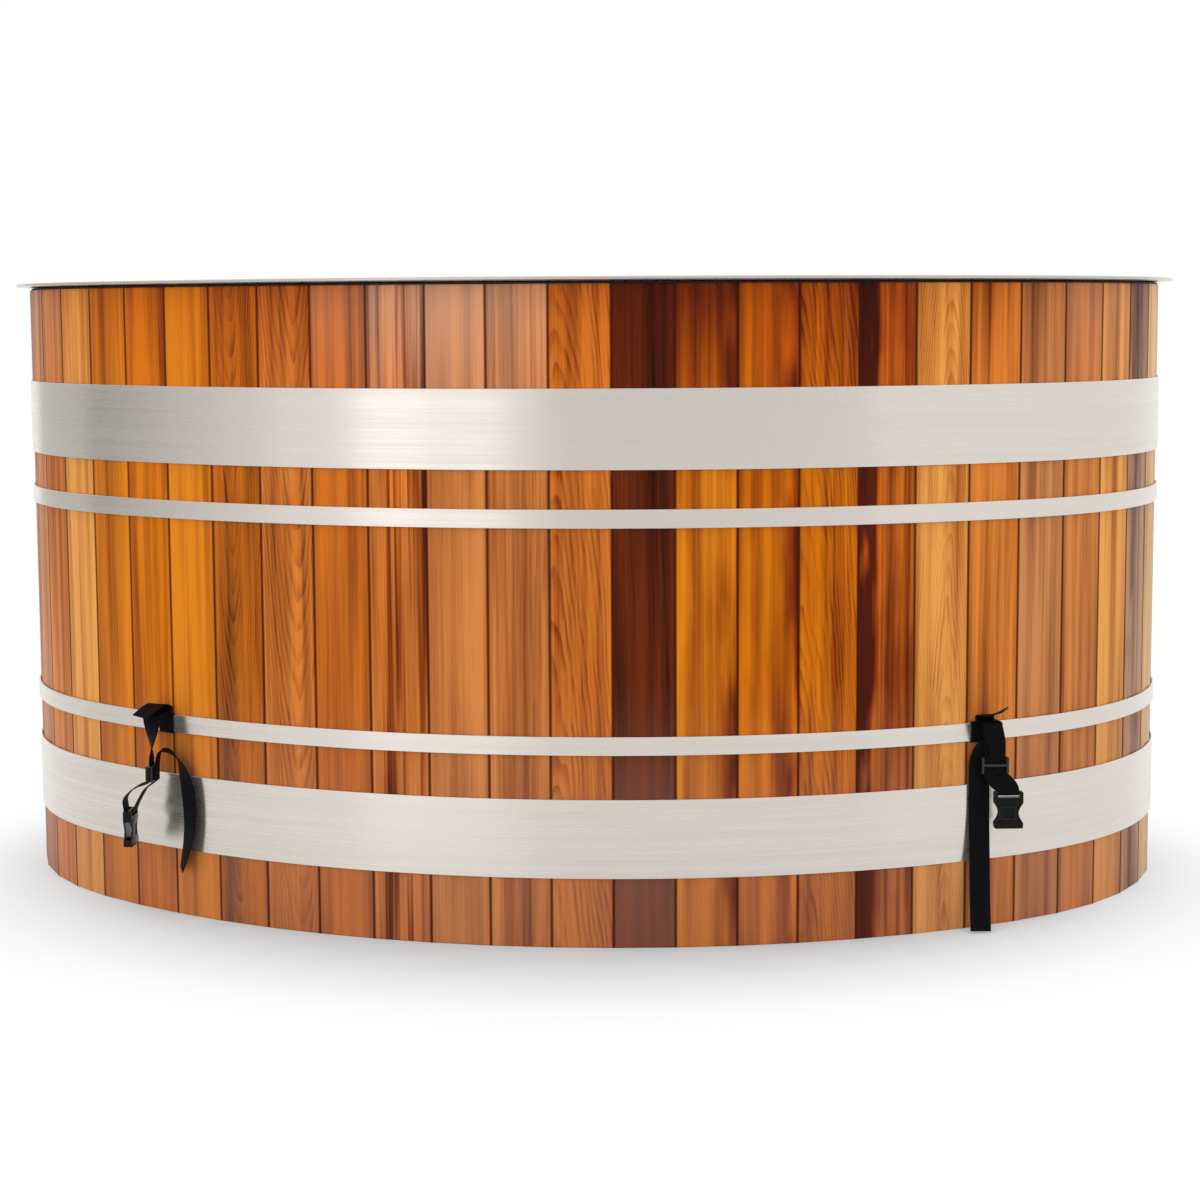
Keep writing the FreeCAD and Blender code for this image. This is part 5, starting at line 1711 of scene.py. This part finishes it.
# Studio
@dataclass(frozen=True)
class Softbox:
    """A rectangular lamp aimed at the tub."""

    name: str
    at: tuple[float, float, float]
    aim: tuple[float, float, float]
    size: tuple[float, float]
    power: float
    mirrored: bool = False

    def build(self) -> None:
        """Hang the lamp, which the steel mirrors only where that is wanted."""
        let_go()
        way = Vector(self.aim) - Vector(self.at)
        bpy.ops.object.light_add(type="AREA", location=self.at,
                                 rotation=way.to_track_quat("-Z", "Y").to_euler())
        lamp = bpy.context.object
        lamp.name = self.name
        lamp.data.shape = "RECTANGLE"
        lamp.data.size, lamp.data.size_y = self.size
        lamp.data.energy = self.power
        lamp.visible_glossy = self.mirrored


@dataclass(frozen=True)
class Card:
    """A grey card that only the steel mirrors, as a photographer sets beside bright metal."""

    name: str
    at: tuple[float, float, float]
    size: tuple[float, float]
    turn: float
    shades: tuple[float, float]

    def build(self) -> None:
        """Stand the card upright, shaded from one end to the other."""
        let_go()
        bpy.ops.mesh.primitive_grid_add(x_subdivisions=2, y_subdivisions=2, size=1, location=self.at,
                                        rotation=(math.pi / 2, 0, math.radians(self.turn)))
        card = bpy.context.object
        card.scale = (*self.size, 1)
        bpy.ops.object.transform_apply()
        card.name = self.name
        material, tree, _ = new_material(self.name)
        along = add(tree, "SeparateXYZ", {0: add(tree, "UVMap")})
        shade = add(tree, "MapRange", {0: along, 3: self.shades[0], 4: self.shades[1]})
        glow = add(tree, "Emission", {"Color": (1, 1, 1, 1), "Strength": shade})
        plug(tree, tree.nodes["Material Output"], {"Surface": glow})
        card.data.materials.append(material)
        card.visible_camera = card.visible_diffuse = False


@dataclass
class Studio:
    """White floor, soft light and the photograph's camera.

    The floor keeps a grey in an oval about the tub, a painted shadow under its real shadow, with these half
    sizes and this shift along Y, and turns to white between the two shares of it.
    """

    floor_size: float = 40.0
    shadow_grey: str = "#C6CACC"
    grey_size: tuple[float, float] = (0.62, 0.55)
    grey_shift: float = 0.18
    grey_edge: tuple[float, float] = (0.85, 1.55)
    fill: float = 0.95
    camera_at: tuple[float, float, float] = (0.5040, -3.4630, 0.7433)
    yaw: float = 0.00412
    pitch: float = 0.11272
    roll: float = 0.00501
    heading: float = -0.14454
    lens: float = 76.1
    sensor: float = 36.0
    reach: float = 200.0
    lamps: tuple[Softbox, ...] = (
        Softbox("key_softbox", (-1.75, -3.25, 0.95), (-0.1, -0.5, 0.45), (0.85, 1.8), 3.7, True),
        Softbox("skirt_softbox", (-1.0, -3.62, 0.95), (-0.1, -0.5, 0.45), (0.7, 1.8), 2.2, True),
        Softbox("fill_softbox", (2.9, -2.8, 1.5), (0.2, 0, 0.4), (1.6, 1.6), 14),
        Softbox("left_softbox", (-3.0, -1.6, 1.6), (-0.4, 0, 0.4), (1.2, 1.6), 10),
        Softbox("top_softbox", (0, -0.6, 3.4), (0, -0.2, 0), (3.2, 3.2), 60),
    )
    cards: tuple[Card, ...] = (
        Card("left_card", (-3.3, -1.51, 0.75), (2.78, 1.5), 90, (0.8, 0.22)),
        Card("far_card", (-3.3, 1.14, 0.75), (2.52, 1.5), 90, (0.46, 0.62)),
        Card("front_card", (2.2, -4.4, 0.75), (5.15, 1.5), 0, (0.6, 0.62)),
    )

    def camera(self) -> None:
        """Set up the camera."""
        let_go()
        turns = (Matrix.Rotation(-self.heading, 3, "Z") @ Matrix.Rotation(-self.yaw, 3, "Z")
                 @ Matrix.Rotation(-self.pitch, 3, "X") @ Matrix.Rotation(self.roll, 3, "Y"))
        right, up, ahead = (turns @ Vector(axis) for axis in ((1, 0, 0), (0, 0, 1), (0, 1, 0)))
        bpy.ops.object.camera_add()
        camera = bpy.context.object
        camera.name = "camera"
        turn = Matrix((right, up, -ahead)).transposed()
        camera.matrix_world = Matrix.Translation(self.camera_at) @ turn.to_4x4()
        camera.data.lens, camera.data.sensor_width = self.lens, self.sensor
        camera.data.clip_end = self.reach
        bpy.context.scene.camera = camera

    def seen(self, tree: NodeTree) -> NodeSocket:
        """Tell the rays that show the background from those that light.

        Args:
            tree: The node tree.

        Returns:
            One for camera, glossy and transmission rays, else zero.
        """
        rays = add(tree, "LightPath").node.outputs
        plain = add(tree, "Math", {0: rays["Is Camera Ray"], 1: rays["Is Glossy Ray"]}, operation="MAXIMUM")
        return add(tree, "Math", {0: plain, 1: rays["Is Transmission Ray"]}, operation="MAXIMUM")

    def floor(self) -> None:
        """Lay a white floor that keeps the tub's shadow, with a painted grey shadow about the tub."""
        let_go()
        bpy.ops.mesh.primitive_grid_add(x_subdivisions=8, y_subdivisions=8, size=self.floor_size)
        floor = bpy.context.object
        floor.name = "studio_floor"
        material, tree, shader = new_material("white_paper")
        at = add(tree, "TexCoord", out="Object")
        scale = (1 / self.grey_size[0], 1 / self.grey_size[1], 0)
        shrunk = add(tree, "VectorMath", {0: at, 1: scale, 2: (0, self.grey_shift, 0)},
                     operation="MULTIPLY_ADD")
        away = add(tree, "VectorMath", {0: shrunk}, out="Value", operation="LENGTH")
        share = add(tree, "MapRange", {0: away, 1: self.grey_edge[0], 2: self.grey_edge[1]}, **SOFT)
        white = add(tree, "Math", {0: self.seen(tree), 1: share}, operation="MULTIPLY")
        # The grey about the tub is a painted shadow beneath the real one.
        plug(tree, shader, {"Base Color": linear(self.shadow_grey), "Roughness": 0.9,
                            "Specular IOR Level": 0.0})
        glow = add(tree, "Emission", {"Color": (1, 1, 1, 1), "Strength": 1.0})
        mixed = add(tree, "MixShader", {0: white, 1: shader.outputs[0], 2: glow})
        plug(tree, tree.nodes["Material Output"], {"Surface": mixed})
        floor.data.materials.append(material)

    def world(self) -> None:
        """Put up a white surround that lights gently."""
        world = bpy.data.worlds.new("white_surround")
        bpy.context.scene.world = world
        world.use_nodes = True
        tree = world.node_tree
        strength = add(tree, "MapRange", {0: self.seen(tree), 3: self.fill, 4: 1.0})
        plug(tree, tree.nodes["Background"], {"Color": (1, 1, 1, 1), "Strength": strength})

    def build(self) -> None:
        """Set the stage."""
        self.world()
        self.floor()
        for prop in (*self.lamps, *self.cards):
            prop.build()
        self.camera()
        bpy.context.scene.view_settings.view_transform = "Standard"


def main() -> None:
    """Build the tub and its studio."""
    logging.basicConfig(level=logging.INFO, format="%(name)s %(message)s")
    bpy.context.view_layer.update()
    oval = Oval()
    finishes = Finishes()
    Studio().build()
    for strap in STRAPS:
        strap.build(finishes)
    StaveWall(oval).build(finishes.cedar)
    BandSet(oval).build(finishes.steel, finishes.fastener)
    RimAndLiner(oval).build(finishes)
    Plumbing().build(finishes)
    FloorAndFoam().build(finishes)
    let_go()
    bpy.context.view_layer.update()


if __name__ == "__main__":
    main()
